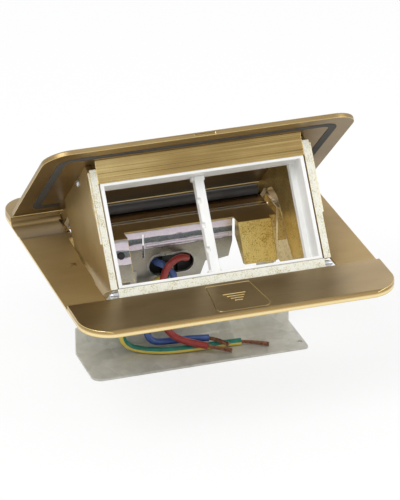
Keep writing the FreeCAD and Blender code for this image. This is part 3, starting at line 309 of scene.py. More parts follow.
# %% Zinc coats
def zinc_coat(name, dark, mid, light, pink, roughness=0.32, crystal_mm=3.5, painted_bands=None, metallic=0.8):
    """Zinc with crystals. painted_bands are (height in mm, hex colour) steps of painted shade and highlight
    up Z.
    """
    material, tree, shader, place = new_material(name)
    scale = 1 / (crystal_mm * MM)
    crystals = add(tree, "ShaderNodeTexVoronoi", {"Vector": place, "Scale": scale, "Randomness": 1.0})
    shade = add(tree, "ShaderNodeSeparateColor", {"Color": crystals.outputs["Color"]}, out="Red")
    cloud = pattern(tree, place, 6, detail=4, roughness=0.7)
    facets = add(tree, "ShaderNodeMapRange", [shade, 0, 1, 0, 0.3], out=0)
    both = add(tree, "ShaderNodeMath", [facets, cloud], operation="ADD", out=0)
    tone = add(tree, "ShaderNodeMapRange", [both, 0.3, 1.05], out=0)
    colour = add(tree, "ShaderNodeValToRGB", [tone], out=0, stops=[(0.0, dark), (0.5, mid), (1.0, light)])
    tint = pattern(tree, place, 16, detail=1)
    cast = add(tree, "ShaderNodeMapRange", [tint, 0.42, 0.68, 0.0, 0.5], out=0)
    colour = add(tree, "ShaderNodeMix", {0: cast, 6: colour, 7: linear(pink)}, out=2, data_type="RGBA")
    # painted shade and highlights: colour bands at set heights, with ragged edges
    if painted_bands:
        height = add(tree, "ShaderNodeSeparateXYZ", {"Vector": place}, out="Z")
        ripple = pattern(tree, place, 1.4, stretch=(4, 1, 1), detail=3)
        ragged = add(tree, "ShaderNodeMapRange", [ripple, 0, 1, -0.9 * MM, 0.9 * MM], out=0)
        height = add(tree, "ShaderNodeMath", [height, ragged], operation="ADD", out=0)
        low, high = painted_bands[0][0], painted_bands[-1][0]
        step = add(tree, "ShaderNodeMapRange", [height, low * MM, high * MM], out=0)
        stops = [((at - low) / (high - low), shade_there) for at, shade_there in painted_bands]
        band = add(tree, "ShaderNodeValToRGB", [step], out=0, stops=stops)
        band_noise = pattern(tree, place, 0.5, detail=2)
        grit_and_band_mix = add(tree, "ShaderNodeMapRange", [band_noise, 0.25, 0.75, 0.6, 0.95], out=0)
        colour = add(tree, "ShaderNodeMix", {0: grit_and_band_mix, 6: colour, 7: band}, out=2, data_type="RGBA")
    tree.links.new(colour, shader.inputs["Base Color"])
    shader.inputs["Metallic"].default_value = metallic
    add(tree, "ShaderNodeMapRange", [cloud, 0.3, 0.7, roughness - 0.08, roughness + 0.12],
        to=shader.inputs["Roughness"])
    add(tree, "ShaderNodeBump", {"Height": cloud, "Distance": 0.06 * MM, "Strength": 0.5},
        to=shader.inputs["Normal"])
    return material


# painted bands of shade and highlight up the sheet, as (height in mm, hex colour)
SHEET_PAINTED_BANDS = [(-31, "#A09C8E"), (-24, "#B4B0A2"), (-15, "#98927C"), (-10.2, "#7A745F"),
               (-9.6, "#4C473C"), (-9.2, "#E4D8E0"), (-6.8, "#D8CAD6"), (-6.3, "#2C3638"),
               (-3.8, "#4A585B"), (-3.3, "#EADCE7"), (-0.6, "#DCD0DC"), (0.4, "#8C857F")]
galvanised = zinc_coat("galvanised sheet", "#7E7E7C", "#AEADAA", "#D4D3D0", "#C9B9C2", painted_bands=SHEET_PAINTED_BANDS)
plain_zinc = zinc_coat("pale zinc sheet", "#B0AFA5", "#CAC9BF", "#DDDCD3", "#C2BFB4", roughness=0.5,
                       crystal_mm=7, metallic=0.3)
bright_zinc = zinc_coat("bright zinc plate", "#A7AAAC", "#C3C6C8", "#D9DBDC", "#C3CAD2", roughness=0.25,
                        crystal_mm=2)
spring_steel = zinc_coat("spring steel", "#6F7173", "#8A8C8E", "#A3A5A6", "#8A8C8E", roughness=0.3,
                         crystal_mm=2)
print("made the zinc coats")

# %% [markdown]
# ## Insulation and copper
# The lead ends are PVC insulated. The earth is green with a yellow stripe, so its colour
# follows the curve's own V coordinate, which runs round the lead.


# %% Insulation and copper
def insulation(name, colour, shade, stripe=None, stripe_from=0.0, stripe_to=0.0):
    """PVC, with a stripe of another colour along the lead where stripe_from and stripe_to say."""
    material, tree, shader, place = new_material(name)
    cloud = pattern(tree, place, 3, detail=3)
    base = add(tree, "ShaderNodeValToRGB", [cloud], out=0, stops=[(0.3, shade), (0.7, colour)])
    if stripe:
        uv = add(tree, "ShaderNodeUVMap", out=0)
        around = add(tree, "ShaderNodeSeparateXYZ", {"Vector": uv}, out="Y")
        above = add(tree, "ShaderNodeMath", [around, stripe_from], operation="GREATER_THAN", out=0)
        below = add(tree, "ShaderNodeMath", [around, stripe_to], operation="LESS_THAN", out=0)
        inside = add(tree, "ShaderNodeMath", [above, below], operation="MULTIPLY", out=0)
        base = add(tree, "ShaderNodeMix", {0: inside, 6: base, 7: linear(stripe)}, out=2,
                   data_type="RGBA")
    tree.links.new(base, shader.inputs["Base Color"])
    shader.inputs["Roughness"].default_value = 0.36
    add(tree, "ShaderNodeBump", {"Height": pattern(tree, place, 0.5), "Distance": 0.01 * MM,
                                 "Strength": 0.3}, to=shader.inputs["Normal"])
    return material


red_pvc = insulation("red PVC", "#9E3530", "#7E2622")
blue_pvc = insulation("blue PVC", "#3F5D9E", "#324B84")
earth_pvc = insulation("green and yellow PVC", "#1E7A66", "#176152", "#D8C053", 0.02, 0.26)

copper, tree, shader, place = new_material("bare copper strands")
add(tree, "ShaderNodeValToRGB", [pattern(tree, place, 1.2)], to=shader.inputs["Base Color"],
    stops=[(0.3, "#6E4A3E"), (0.7, "#A87C62")])
shader.inputs["Metallic"].default_value = 1.0
shader.inputs["Roughness"].default_value = 0.35
print("made the insulation and the copper")

# %% [markdown]
# ## Finishes on the CAD nodes
# A node whose shape is already right keeps its mesh and only gets its finish.

# %% Give each node its finish
NODE_FINISH = {
    "hinge_pin": spring_steel, "latch_bolt": spring_steel, "latch_spring": spring_steel,
    "button_springs": spring_steel, "lid_spring_left": spring_steel, "lid_spring_right": spring_steel,
    "latch_housing": black_abs, "terminal_block": black_abs, "lid_seal": grey_rubber,
}
for name, finish in NODE_FINISH.items():
    slots = nodes[name].data.materials
    slots.clear()
    slots.append(finish)
print("finished", len(NODE_FINISH), "nodes")

# %% [markdown]
# ## Rounded edges
# A real casting or pressing has no knife edges, and the bright line along each edge is what
# tells the eye that it is metal. A copy of a CAD mesh is merged, its flat faces are joined, and
# a bevel rounds what is sharper than 35 degrees. The bevel's own faces take a brighter finish,
# a painted edge highlight. A rule for each node says which finish a face takes, by where it is and where it
# looks.


# %% A rounded copy of a CAD node
MERGE_DISTANCE = 2e-6
FLAT_ANGLE = math.radians(0.5)
EDGE_ANGLE = math.radians(35)


def rounded(node, body, finishes, rule=None, width_mm=0.25, cuts=(), clamp=False):
    """Replaces a node by a copy with rounded edges. finishes[0] is for the bevel's faces, and rule
    picks one of the others for each face. A flat face with a hole can't be one polygon, so cuts gives
    the planes (axis, mm) that split such faces. clamp keeps the bevel off steps too thin for it."""
    form = bmesh.new()
    form.from_mesh(nodes[node].data)
    bmesh.ops.remove_doubles(form, verts=form.verts, dist=MERGE_DISTANCE)
    for axis, where in cuts:
        normal = Vector([float(axis == other) for other in "xyz"])
        cut = bmesh.ops.bisect_plane(form, geom=form.verts[:] + form.edges[:] + form.faces[:], dist=1e-6,
                                     plane_co=normal * where * MM, plane_no=normal)
        for part in cut["geom_cut"]:
            if isinstance(part, bmesh.types.BMEdge):
                part.seam = True
    bmesh.ops.dissolve_limit(form, angle_limit=FLAT_ANGLE, verts=form.verts, edges=form.edges,
                             delimit={"SEAM"})
    for face in form.faces:
        face.smooth = True
        face.material_index = 1 + (rule(face.calc_center_median() / MM, face.normal) if rule else 0)
    mesh = bpy.data.meshes.new(node + "_rounded")
    form.to_mesh(mesh)
    form.free()
    for finish in finishes:
        mesh.materials.append(finish)
    piece = bpy.data.objects.new(mesh.name, mesh)
    bpy.context.scene.collection.objects.link(piece)
    edge = piece.modifiers.new("edge", "BEVEL")
    edge.width = width_mm * MM
    edge.segments = 2
    edge.limit_method = "ANGLE"
    edge.angle_limit = EDGE_ANGLE
    edge.use_clamp_overlap = clamp
    edge.material = 0
    piece.modifiers.new("even", "WEIGHTED_NORMAL").keep_sharp = True
    baked = bpy.data.meshes.new_from_object(piece.evaluated_get(bpy.context.evaluated_depsgraph_get()))
    piece.modifiers.clear()
    piece.data = baked
    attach(piece, body)
    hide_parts(node)
    return piece


# %% [markdown]
# ## Which face takes which finish
# One casting can carry several finishes: its top is brushed, its cove is polished, and what lies
# below the floor is left as cast. Faces could be picked by hand, but a rule by place and
# direction is easier to read, and it still holds when the casting is cut into other faces.

# %% Rules for the finishes
FACE_OUT = Vector((0, -0.8211, 0.5707))    # the way that the open module face looks
# Where the casting's finishes change, in millimetres
LEFT_TONGUE_X, LEFT_TONGUE_BACK = (-46, -28), 23
TONGUE_X, TONGUE_BACK = 43, 27
RIM_X, RIM_Y, RIM_CORNER, RIM_CORNER_R, RIM_CORNER_FROM = 76, 75, (62.5, 61.5), 14, 62
COVE_Y, COVE_HALF, COVE_TOP = (35.2, 52), 54, 4
RECESS_TOP = 1.4
FRONT_BAR_Y = -44
RIB_X = 55.05


def base_rule(place, normal):
    """0 brushed, 1 the cove with painted reflections, 2 the cast right tongue, 3 cast walls, 4 zinc on the
    left tongue,
    5 the rim with a painted highlight, 6 the cove's ends, 7 the recess, lighter as painted light, 8 the
    front bar, darker as painted shade."""
    across, along = abs(place.x), abs(place.y)
    if place.z < -0.2:
        if LEFT_TONGUE_X[0] < place.x < LEFT_TONGUE_X[1] and place.y < LEFT_TONGUE_BACK:
            return 4
        return 2 if across < TONGUE_X and place.y < TONGUE_BACK else 3
    in_corner = across > RIM_CORNER_FROM and \
        math.hypot(across - RIM_CORNER[0], along - RIM_CORNER[1]) > RIM_CORNER_R
    if normal.z < 0.75 and (across > RIM_X or along > RIM_Y or in_corner):
        return 5
    if COVE_Y[0] < place.y < COVE_Y[1] and across < RIM_X and place.z < COVE_TOP and normal.y < 0.5:
        return 1 if across < COVE_HALF else 6
    if place.z < RECESS_TOP and normal.z > 0.9:
        return 7
    return 8 if place.y < FRONT_BAR_Y and normal.z > 0.5 else 0


def cheek_rule(place, normal):
    """0 fettled sides, 1 sawn front strip, 2 the rib outside, made lighter as a painted highlight, 3 the
    inner side.
    """
    # faces that look out the module face's way are sawn, their near-white partly a painted highlight
    if normal.dot(FACE_OUT) > 0.8:
        return 1
    # the rib outside takes the brighter brass, a painted highlight
    if abs(place.x) > RIB_X:
        return 2
    return 3 if normal.x * place.x < -0.9 * abs(place.x) else 0


# %% Round the nodes that show
# the first finish is for the bevel's faces, a painted edge highlight
brass = [highlight_brass, antique_brass]
HINGE_Y = 54.8
SCREW_X = 46.5
RIVET_Y = sum(corner[1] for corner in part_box("lid_rivets")) / 2 / MM
rounded("base_plate", "base",
        brass + [cove_brass, tongue_brass, wall_brass, galvanised, rim_brass_painted_highlight, antique_brass, recess_brass_painted_light,
                 front_brass_painted_shade], base_rule,
        cuts=[("x", 0), ("x", -SCREW_X), ("x", SCREW_X), ("x", -54.0), ("x", 54.0), ("y", HINGE_Y),
              ("y", COVE_Y[0])])
rounded("release_button", "button", [highlight_brass, front_brass_painted_shade], width_mm=0.12)
rounded("lid_plate", "carrier", brass, width_mm=0.2, cuts=[("x", 0)])
rounded("top_bar", "carrier", [highlight_brass, bar_brass], width_mm=0.25)
for side in ("left", "right"):
    rounded("cheek_" + side, "carrier",
            [highlight_brass, cheek_brass, sawn_brass_and_highlight, highlight_brass, wall_brass], cheek_rule,
            width_mm=0.2, cuts=[("y", HINGE_Y), ("y", RIVET_Y)], clamp=True)
rounded("bottom_rail", "carrier", [sawn_brass_and_highlight, sawn_brass_and_highlight])
rounded("support_frame", "carrier", [white_abs, white_abs], width_mm=0.3, cuts=[("x", 0)])
rounded("centre_bar", "carrier", [white_abs, white_abs], width_mm=0.4)
rounded("hinge_cover", "base", [black_rubber, black_rubber], width_mm=0.3)
# the bracket's bevel faces take the bright zinc as a painted edge highlight
rounded("cable_bracket", "base", [bright_zinc, galvanised], width_mm=0.15,
        cuts=[("x", where) for where in (-29.5, -26.0, -18.2, -4.0, 18.0)])
rounded("bottom_bracket", "base", [plain_zinc, plain_zinc], width_mm=0.15,
        cuts=[("x", where) for where in (-SCREW_X, 0.0, SCREW_X, 54.4)])

# %% [markdown]
# ## Webs behind the cheeks
# The real casting closes the gaps beside each cheek. Three thin cast webs a side do it here, clear
# of the cheek's plate and of its arm as they swing. A bevelled box is enough, because only a
# sliver of each can be seen.

# %% Webs behind the cheeks
WEBS = [((52.5, 29.5, -17.0), (57.0, 30.4, 0.8)), ((52.6, 44.6, -14.0), (57.0, 45.5, 0.1)),
        ((43.5, 59.2, -9.0), (57.0, 60.2, 0.3))]


def webs(side):
    """The webs of one side, -1 for the left and 1 for the right."""
    form = bmesh.new()
    for low, high in WEBS:
        made = bmesh.ops.create_cube(form, size=1.0)["verts"]
        for vert in made:
            spot = Vector([a + (c + 0.5) * (b - a) for a, b, c in zip(low, high, vert.co)])
            spot.x *= side
            vert.co = spot * MM
    bmesh.ops.recalc_face_normals(form, faces=form.faces)
    bmesh.ops.bevel(form, geom=form.edges[:], offset=0.2 * MM, segments=2, affect="EDGES")
    mesh = bpy.data.meshes.new("slot_webs")
    form.to_mesh(mesh)
    form.free()
    mesh.materials.append(wall_brass)
    piece = bpy.data.objects.new("slot_webs_right" if side > 0 else "slot_webs_left", mesh)
    bpy.context.scene.collection.objects.link(piece)
    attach(piece, "base")


webs(-1)
webs(1)
print("made", 2 * len(WEBS), "webs")

# %% [markdown]
# ## Fasteners by Geometry Nodes
# Every screw, rivet and pin is the same idea: a round head on a shank, set where it holds
# something. One node tree makes the head, domes it, saws the slot if there is one, and puts a
# copy on every point it is given, turned along the point's own direction.


# %% The fastener tree
def fastener_tree(name, slotted):
    """A head on a shank for each point. The head's sides are drawn in towards its top by a cube law."""
    tree = bpy.data.node_groups.new(name, "GeometryNodeTree")
    tree.interface.new_socket("Points", in_out="INPUT", socket_type="NodeSocketGeometry")
    for label in ("Head radius", "Head height", "Shank radius", "Shank length", "Slot width", "Slot depth"):
        tree.interface.new_socket(label, in_out="INPUT", socket_type="NodeSocketFloat")
    tree.interface.new_socket("Finish", in_out="INPUT", socket_type="NodeSocketMaterial")
    tree.interface.new_socket("Geometry", in_out="OUTPUT", socket_type="NodeSocketGeometry")
    given = add(tree, "NodeGroupInput").outputs
    head_sizes = {"Vertices": 32, "Side Segments": 4, "Radius": given["Head radius"],
                  "Depth": given["Head height"]}
    head = add(tree, "GeometryNodeMeshCylinder", head_sizes, out="Mesh")
    place = add(tree, "ShaderNodeSeparateXYZ", {"Vector": add(tree, "GeometryNodeInputPosition", out=0)})
    up = add(tree, "ShaderNodeMath", {0: place.outputs["Z"], 1: given["Head height"]}, operation="DIVIDE",
             out=0)
    high = add(tree, "ShaderNodeMath", {0: up, 1: 0.5}, operation="ADD", out=0)
    cube = add(tree, "ShaderNodeMath", {0: high, 1: 3.0}, operation="POWER", out=0)
    shrink = add(tree, "ShaderNodeMath", {0: cube, 1: -0.34}, operation="MULTIPLY", out=0)
    inward = add(tree, "ShaderNodeCombineXYZ", {"X": place.outputs["X"], "Y": place.outputs["Y"]}, out=0)
    shift = add(tree, "ShaderNodeVectorMath", {0: inward, "Scale": shrink}, operation="SCALE", out=0)
    head = add(tree, "GeometryNodeSetPosition", {"Geometry": head, "Offset": shift}, out=0)
    half = add(tree, "ShaderNodeMath", {0: given["Head height"], 1: 0.5}, operation="MULTIPLY", out=0)
    lift = add(tree, "ShaderNodeCombineXYZ", {"Z": half}, out=0)
    head = add(tree, "GeometryNodeTransform", {"Geometry": head, "Translation": lift}, out=0)
    if slotted:
        long = add(tree, "ShaderNodeMath", {0: given["Head radius"], 1: 2.4}, operation="MULTIPLY", out=0)
        deep = add(tree, "ShaderNodeMath", {0: given["Slot depth"], 1: 2.0}, operation="MULTIPLY", out=0)
        size = add(tree, "ShaderNodeCombineXYZ", {"X": long, "Y": given["Slot width"], "Z": deep}, out=0)
        top = add(tree, "ShaderNodeCombineXYZ", {"Z": given["Head height"]}, out=0)
        saw = add(tree, "GeometryNodeMeshCube", {"Size": size}, out="Mesh")
        saw = add(tree, "GeometryNodeTransform", {"Geometry": saw, "Translation": top}, out=0)
        other = add(tree, "GeometryNodeTransform", {"Geometry": saw, "Rotation": (0, 0, math.pi / 2)},
                    out=0)
        cut = add(tree, "GeometryNodeMeshBoolean", operation="DIFFERENCE")
        tree.links.new(head, cut.inputs[0])
        tree.links.new(saw, cut.inputs[1])
        tree.links.new(other, cut.inputs[1])
        head = cut.outputs[0]
    shank = add(tree, "GeometryNodeMeshCylinder", {"Vertices": 24, "Radius": given["Shank radius"],
                                                   "Depth": given["Shank length"]}, out="Mesh")
    down = add(tree, "ShaderNodeMath", {0: given["Shank length"], 1: -0.5}, operation="MULTIPLY", out=0)
    sink = add(tree, "ShaderNodeCombineXYZ", {"Z": down}, out=0)
    shank = add(tree, "GeometryNodeTransform", {"Geometry": shank, "Translation": sink}, out=0)
    whole = add(tree, "GeometryNodeJoinGeometry")
    tree.links.new(head, whole.inputs[0])
    tree.links.new(shank, whole.inputs[0])
    way = add(tree, "GeometryNodeInputNamedAttribute", {"Name": "way"}, data_type="FLOAT_VECTOR",
              out="Attribute")
    turn = add(tree, "FunctionNodeAlignRotationToVector", {"Vector": way}, axis="Z", out=0)
    seats = {"Points": given["Points"], "Instance": whole.outputs[0], "Rotation": turn}
    copies = add(tree, "GeometryNodeInstanceOnPoints", seats, out=0)
    solid = add(tree, "GeometryNodeRealizeInstances", {"Geometry": copies}, out=0)
    coated = add(tree, "GeometryNodeSetMaterial", {"Geometry": solid, "Material": given["Finish"]}, out=0)
    add(tree, "NodeGroupOutput", {"Geometry": coated})
    return tree


# %% Run a tree and keep its mesh
def grown(name, tree, source, settings):
    """Runs a tree on a source mesh or curve and keeps the result as a plain mesh."""
    piece = bpy.data.objects.new(name, source)
    bpy.context.scene.collection.objects.link(piece)
    modifier = piece.modifiers.new("nodes", "NODES")
    modifier.node_group = tree
    for socket in tree.interface.items_tree:
        if socket.in_out == "INPUT" and socket.name in settings:
            modifier[socket.identifier] = settings[socket.name]
    mesh = bpy.data.meshes.new_from_object(piece.evaluated_get(bpy.context.evaluated_depsgraph_get()))
    bpy.data.objects.remove(piece)
    piece = bpy.data.objects.new(name, mesh)
    bpy.context.scene.collection.objects.link(piece)
    return piece


def points_with_ways(name, seats):
    """Loose points, each with the direction in which its head looks."""
    mesh = bpy.data.meshes.new(name)
    mesh.from_pydata([[v * MM for v in place] for place, way in seats], [], [])
    ways = mesh.attributes.new("way", "FLOAT_VECTOR", "POINT")
    for index, (place, way) in enumerate(seats):
        ways.data[index].vector = way
    return mesh


# %% Seat the screws, rivets and pins
screw_tree = fastener_tree("slotted screw", True)
pin_tree = fastener_tree("pin", False)
rivet_low, rivet_high = [Vector(v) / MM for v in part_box("lid_rivets")]
pin_low, pin_high = [Vector(v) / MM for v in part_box("rail_pins")]
# body, tree, (head radius, head height, shank radius, shank length), (place, way) of each
FASTENERS = {
    "flange_screws": ("base", screw_tree, (2.9, 1.8, 1.5, 1.2),
                      [((-26.0, 33.2, -0.9), (0, 0, -1)), ((18.0, 33.2, -0.9), (0, 0, -1))]),
    "bracket_screws": ("base", screw_tree, (2.9, 1.8, 1.5, 5.0),
                       [((-46.5, 26.6, -15.0), (0, 1, 0)), ((46.5, 26.6, -15.0), (0, 1, 0))]),
    "lid_rivets": ("carrier", pin_tree, (2.0, 1.1, 1.2, 6.0),
                   [((side * (rivet_high.x - 1.1), (rivet_low.y + rivet_high.y) / 2,
                      (rivet_low.z + rivet_high.z) / 2), (side, 0, 0)) for side in (-1, 1)]),
    "rail_pins": ("carrier", pin_tree, (1.6, 3.8, 1.6, 5.6),
                  [((side * (pin_high.x - 3.8), (pin_low.y + pin_high.y) / 2,
                     (pin_low.z + pin_high.z) / 2), (side, 0, 0)) for side in (-1, 1)]),
}
for node, (body, tree, sizes, seats) in FASTENERS.items():
    settings = dict(zip(("Head radius", "Head height", "Shank radius", "Shank length"),
                        [v * MM for v in sizes]))
    settings.update({"Slot width": 0.8 * MM, "Slot depth": 0.7 * MM, "Finish": bright_zinc})
    piece = grown(node + "_made", tree, points_with_ways(node + "_seats", seats), settings)
    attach(piece, body)
    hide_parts(node)
    print(node, len(piece.data.polygons), "faces")

# %% [markdown]
# ## Plug in the left tongue
# A black plug fills a hole in the left tongue. It is a shallow domed head on a short shank, so the
# fastener tree makes it too. It looks the way that the tongue's sloping face does.

# %% Plug in the left tongue
PLUG_SEAT = ((-33.1, 15.8, -5.6), (0, -0.858, 0.514))
plug = grown("tongue_plug", pin_tree, points_with_ways("plug_seat", [PLUG_SEAT]),
             {"Head radius": 1.9 * MM, "Head height": 0.4 * MM, "Shank radius": 1.2 * MM,
              "Shank length": 2.0 * MM, "Finish": black_abs})
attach(plug, "base")
print(plug.name, len(plug.data.polygons), "faces")

# %% [markdown]
# ## The lead ends
# Three short leads come out of the terminal block behind the bracket, pass through its oval
# hole and lie on the bottom bracket. Each is one smooth NURBS curve through the listed
# points of its route, with the round section as the curve's bevel.

# %% The three leads
LEAD_D = 3.5 * MM
LEAD_ROUTES = {
    "red": [(4.6, 31.6, -17.8), (4.6, 26.4, -17.8), (-0.8, 21.6, -13.7), (-6.0, 18.5, -13.9),
            (-9.8, 17.2, -17.0), (-12.2, 16.2, -23.0), (-13.4, 15.5, -32.0), (-13.2, 14.0, -42.0),
            (-11.0, 12.9, -48.6), (-6.4, 10.6, -52.7), (-0.6, 7.2, -54.2), (7.2, 4.4, -56.0)],
    "blue": [(-12.0, 31.6, -17.4), (-12.0, 26.6, -17.4), (-10.8, 22.8, -16.4), (-7.8, 21.2, -18.6),
             (-5.2, 19.8, -21.8), (-4.6, 19.8, -27.0), (-8.0, 20.8, -34.0), (-14.5, 20.6, -41.0),
             (-19.6, 17.6, -46.6), (-20.6, 15.4, -51.4), (-17.4, 15.3, -54.8), (-12.0, 15.9, -56.0),
             (-5.0, 14.9, -55.8), (2.0, 13.4, -55.2), (9.9, 10.5, -54.9)],
    "green": [(-4.0, 31.6, -22.2), (-4.0, 26.4, -22.2), (-8.0, 23.2, -23.8), (-15.0, 22.0, -26.0),
              (-22.0, 19.6, -29.0), (-28.5, 18.4, -35.0), (-32.6, 17.2, -43.5), (-33.4, 16.6, -51.5),
              (-29.4, 17.6, -56.6), (-25.1, 16.1, -58.0), (-20.0, 12.7, -58.0), (-13.7, 10.2, -58.0),
              (-5.7, 8.9, -58.0), (8.5, 8.2, -58.0), (17.0, 8.4, -58.0), (25.5, 7.5, -58.0)],
}
LEAD_FINISH = {"red": red_pvc, "blue": blue_pvc, "green": earth_pvc}


def lead_curve(colour):
    """The lead as one open NURBS spline with a round bevel."""
    data = bpy.data.curves.new("insulation_" + colour, "CURVE")
    data.dimensions = "3D"
    spline = data.splines.new("NURBS")
    route = LEAD_ROUTES[colour]
    spline.points.add(len(route) - 1)
    for point, place in zip(spline.points, route):
        point.co = (*[v * MM for v in place], 1.0)
    spline.order_u = 3
    spline.use_endpoint_u = True
    spline.resolution_u = 12
    data.bevel_depth = LEAD_D / 2
    data.bevel_resolution = 6
    data.use_fill_caps = True
    data.materials.append(LEAD_FINISH[colour])
    lead = bpy.data.objects.new("insulation_" + colour, data)
    bpy.context.scene.collection.objects.link(lead)
    return lead


# %% [markdown]
# ## The bare strands
# The insulation is stripped off the last centimetre, and seven copper strands stand out, laid
# round each other and a little fanned. A tree makes them from the end's own path: it copies the
# path seven times, pushes six copies out and twists them.

# %% The bare strands
CORE_TIPS = {"red": (18.2, -0.4, -58.0), "blue": (17.4, 3.0, -56.1), "green": (38.0, 1.4, -58.6)}


def strand_tree():
    """Seven strands laid round a curve: copies of the curve, pushed aside and twisted."""
    tree = bpy.data.node_groups.new("strands", "GeometryNodeTree")
    tree.interface.new_socket("Path", in_out="INPUT", socket_type="NodeSocketGeometry")
    for label in ("Lay radius", "Strand radius", "Turns"):
        tree.interface.new_socket(label, in_out="INPUT", socket_type="NodeSocketFloat")
    tree.interface.new_socket("Finish", in_out="INPUT", socket_type="NodeSocketMaterial")
    tree.interface.new_socket("Geometry", in_out="OUTPUT", socket_type="NodeSocketGeometry")
    given = add(tree, "NodeGroupInput").outputs
    path = add(tree, "GeometryNodeResampleCurve", {"Curve": given["Path"], "Count": 30}, out=0)
    many = add(tree, "GeometryNodeDuplicateElements", {"Geometry": path, "Amount": 7}, domain="SPLINE")
    along = add(tree, "GeometryNodeSplineParameter", out="Factor")
    start = add(tree, "ShaderNodeMath", {0: many.outputs["Duplicate Index"], 1: math.tau / 6},
                operation="MULTIPLY", out=0)
    wound = add(tree, "ShaderNodeMath", {0: along, 1: given["Turns"]}, operation="MULTIPLY", out=0)
    angle = add(tree, "ShaderNodeMath", {0: wound, 1: math.tau, 2: start}, operation="MULTIPLY_ADD", out=0)
    outer = add(tree, "ShaderNodeMath", {0: many.outputs["Duplicate Index"], 1: 5.5}, operation="LESS_THAN",
                out=0)
    reach = add(tree, "ShaderNodeMath", {0: outer, 1: given["Lay radius"]}, operation="MULTIPLY", out=0)
    fan = add(tree, "ShaderNodeMath", {0: along, 1: 0.45, 2: 1.0}, operation="MULTIPLY_ADD", out=0)
    reach = add(tree, "ShaderNodeMath", {0: reach, 1: fan}, operation="MULTIPLY", out=0)
    tangent = add(tree, "GeometryNodeInputTangent", out=0)
    normal = add(tree, "GeometryNodeInputNormal", out=0)
    turned = add(tree, "ShaderNodeVectorRotate", {"Vector": normal, "Axis": tangent, "Angle": angle}, out=0)
    shift = add(tree, "ShaderNodeVectorMath", {0: turned, "Scale": reach}, operation="SCALE", out=0)
    laid = add(tree, "GeometryNodeSetPosition", {"Geometry": many.outputs["Geometry"], "Offset": shift},
               out=0)
    section = {"Resolution": 8, "Radius": given["Strand radius"]}
    ring = add(tree, "GeometryNodeCurvePrimitiveCircle", section, out=0)
    wire = add(tree, "GeometryNodeCurveToMesh", {"Curve": laid, "Profile Curve": ring, "Fill Caps": True},
               out=0)
    solid = add(tree, "GeometryNodeRealizeInstances", {"Geometry": wire}, out=0)
    coated = add(tree, "GeometryNodeSetMaterial", {"Geometry": solid, "Material": given["Finish"]}, out=0)
    add(tree, "NodeGroupOutput", {"Geometry": coated})
    return tree


wire_tree = strand_tree()


def bare_end(colour):
    """The stripped end of a lead, from inside its insulation to the tip."""
    last = Vector(LEAD_ROUTES[colour][-1])
    way = (last - Vector(LEAD_ROUTES[colour][-2])).normalized()
    places = [last - way * 2, last + way * 2.6, Vector(CORE_TIPS[colour])]
    data = bpy.data.curves.new("strand_path_" + colour, "CURVE")
    data.dimensions = "3D"
    spline = data.splines.new("NURBS")
    spline.points.add(len(places) - 1)
    for point, place in zip(spline.points, places):
        point.co = (*(place * MM), 1.0)
    spline.order_u = 3
    spline.use_endpoint_u = True
    piece = grown("strands_" + colour, wire_tree, data, {"Lay radius": 0.58 * MM, "Strand radius": 0.3 * MM,
                                                         "Turns": 1.1, "Finish": copper})
    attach(piece, "base")
    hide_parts("core_" + colour)
    return piece


# %% Lay the leads
for colour, route in LEAD_ROUTES.items():
    lead = lead_curve(colour)
    strands = bare_end(colour)
    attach(lead, "base")
    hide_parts("lead_" + colour)
    print("lead", colour, "with", len(route), "points")

# %% [markdown]
# ## Floor and light
# The floor is plain and pale, and the light is soft studio light: one large lamp above and to
# the left, a weaker one from the right, a small one for the glint on the front bar's far end, and
# an even world. The world is white to the camera and in the metal's reflections, and the floor is
# white to the camera apart from the shadow.

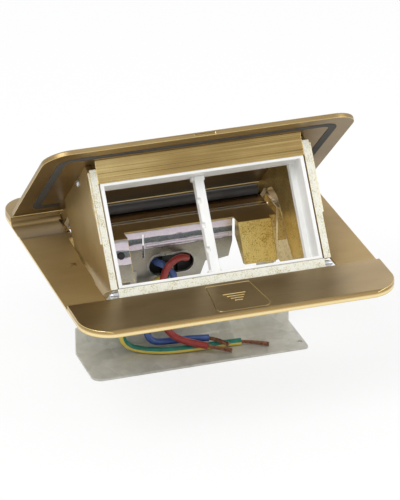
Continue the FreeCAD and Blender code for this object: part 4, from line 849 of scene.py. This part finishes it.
# %% Floor
FLOOR_DROP = 0.0001
FLOOR_REACH = 6.0
FLOOR_GLOW = 0.82    # how much of the floor is plain white to the camera, the rest keeps the shadow
floor_mesh = bpy.data.meshes.new("floor")
floor_z = cad_low[2] - FLOOR_DROP
corners = [(x * FLOOR_REACH, y * FLOOR_REACH, floor_z) for x, y in ((-1, -1), (1, -1), (1, 1), (-1, 1))]
floor_mesh.from_pydata(corners, [], [(0, 1, 2, 3)])
floor = bpy.data.objects.new("floor", floor_mesh)
bpy.context.scene.collection.objects.link(floor)
floor_material, tree, shader, place = new_material("white studio floor")
shader.inputs["Base Color"].default_value = linear("#F4F4F3")
shader.inputs["Roughness"].default_value = 0.9
rays = add(tree, "ShaderNodeLightPath")
glow = add(tree, "ShaderNodeEmission", {"Color": (1, 1, 1, 1), "Strength": 1.0})
shown = add(tree, "ShaderNodeMapRange", [rays.outputs["Is Camera Ray"], 0, 1, 0, FLOOR_GLOW], out=0)
mix = add(tree, "ShaderNodeMixShader", {0: shown, 1: shader.outputs["BSDF"], 2: glow.outputs[0]})
output = [node for node in tree.nodes if node.type == "OUTPUT_MATERIAL"][0]
tree.links.new(mix.outputs[0], output.inputs["Surface"])
floor_mesh.materials.append(floor_material)
print("floor at", round(floor_z, 4))

# %% Lights and world
world = bpy.data.worlds.new("studio")
bpy.context.scene.world = world
world.use_nodes = True
tree = world.node_tree
tree.nodes.clear()
rays = add(tree, "ShaderNodeLightPath")
dim = add(tree, "ShaderNodeBackground", {"Color": linear("#F3F4F6"), "Strength": 0.78})
white = add(tree, "ShaderNodeBackground", {"Color": (1, 1, 1, 1), "Strength": 1.0})
shown = add(tree, "ShaderNodeMath", {0: rays.outputs["Is Camera Ray"], 1: rays.outputs["Is Glossy Ray"]},
            operation="MAXIMUM", out=0)
both = add(tree, "ShaderNodeMixShader", {0: shown, 1: dim.outputs[0], 2: white.outputs[0]})
add(tree, "ShaderNodeOutputWorld", {"Surface": both.outputs[0]})


def soft_lamp(name, place, size, power, aim=(0, 0, 0)):
    """A rectangular lamp that looks at aim. size is its sides in metres, and power its watts."""
    data = bpy.data.lights.new(name, "AREA")
    data.shape = "RECTANGLE"
    data.size, data.size_y = size
    data.energy = power
    lamp = bpy.data.objects.new(name, data)
    lamp.location = place
    lamp.rotation_euler = (Vector(aim) - Vector(place)).to_track_quat("-Z", "Y").to_euler()
    bpy.context.scene.collection.objects.link(lamp)
    return lamp


soft_lamp("key", (-0.9, -0.5, 1.3), (0.9, 0.9), 14)
soft_lamp("fill", (1.3, -0.8, 0.7), (1.0, 1.0), 7)
glint = soft_lamp("glint", (0.2, 0.27, 0.17), (0.14, 0.14), 0.05, aim=(0.075, -0.06, 0.0))
glint.visible_camera = False
bpy.context.scene.view_settings.view_transform = "Standard"
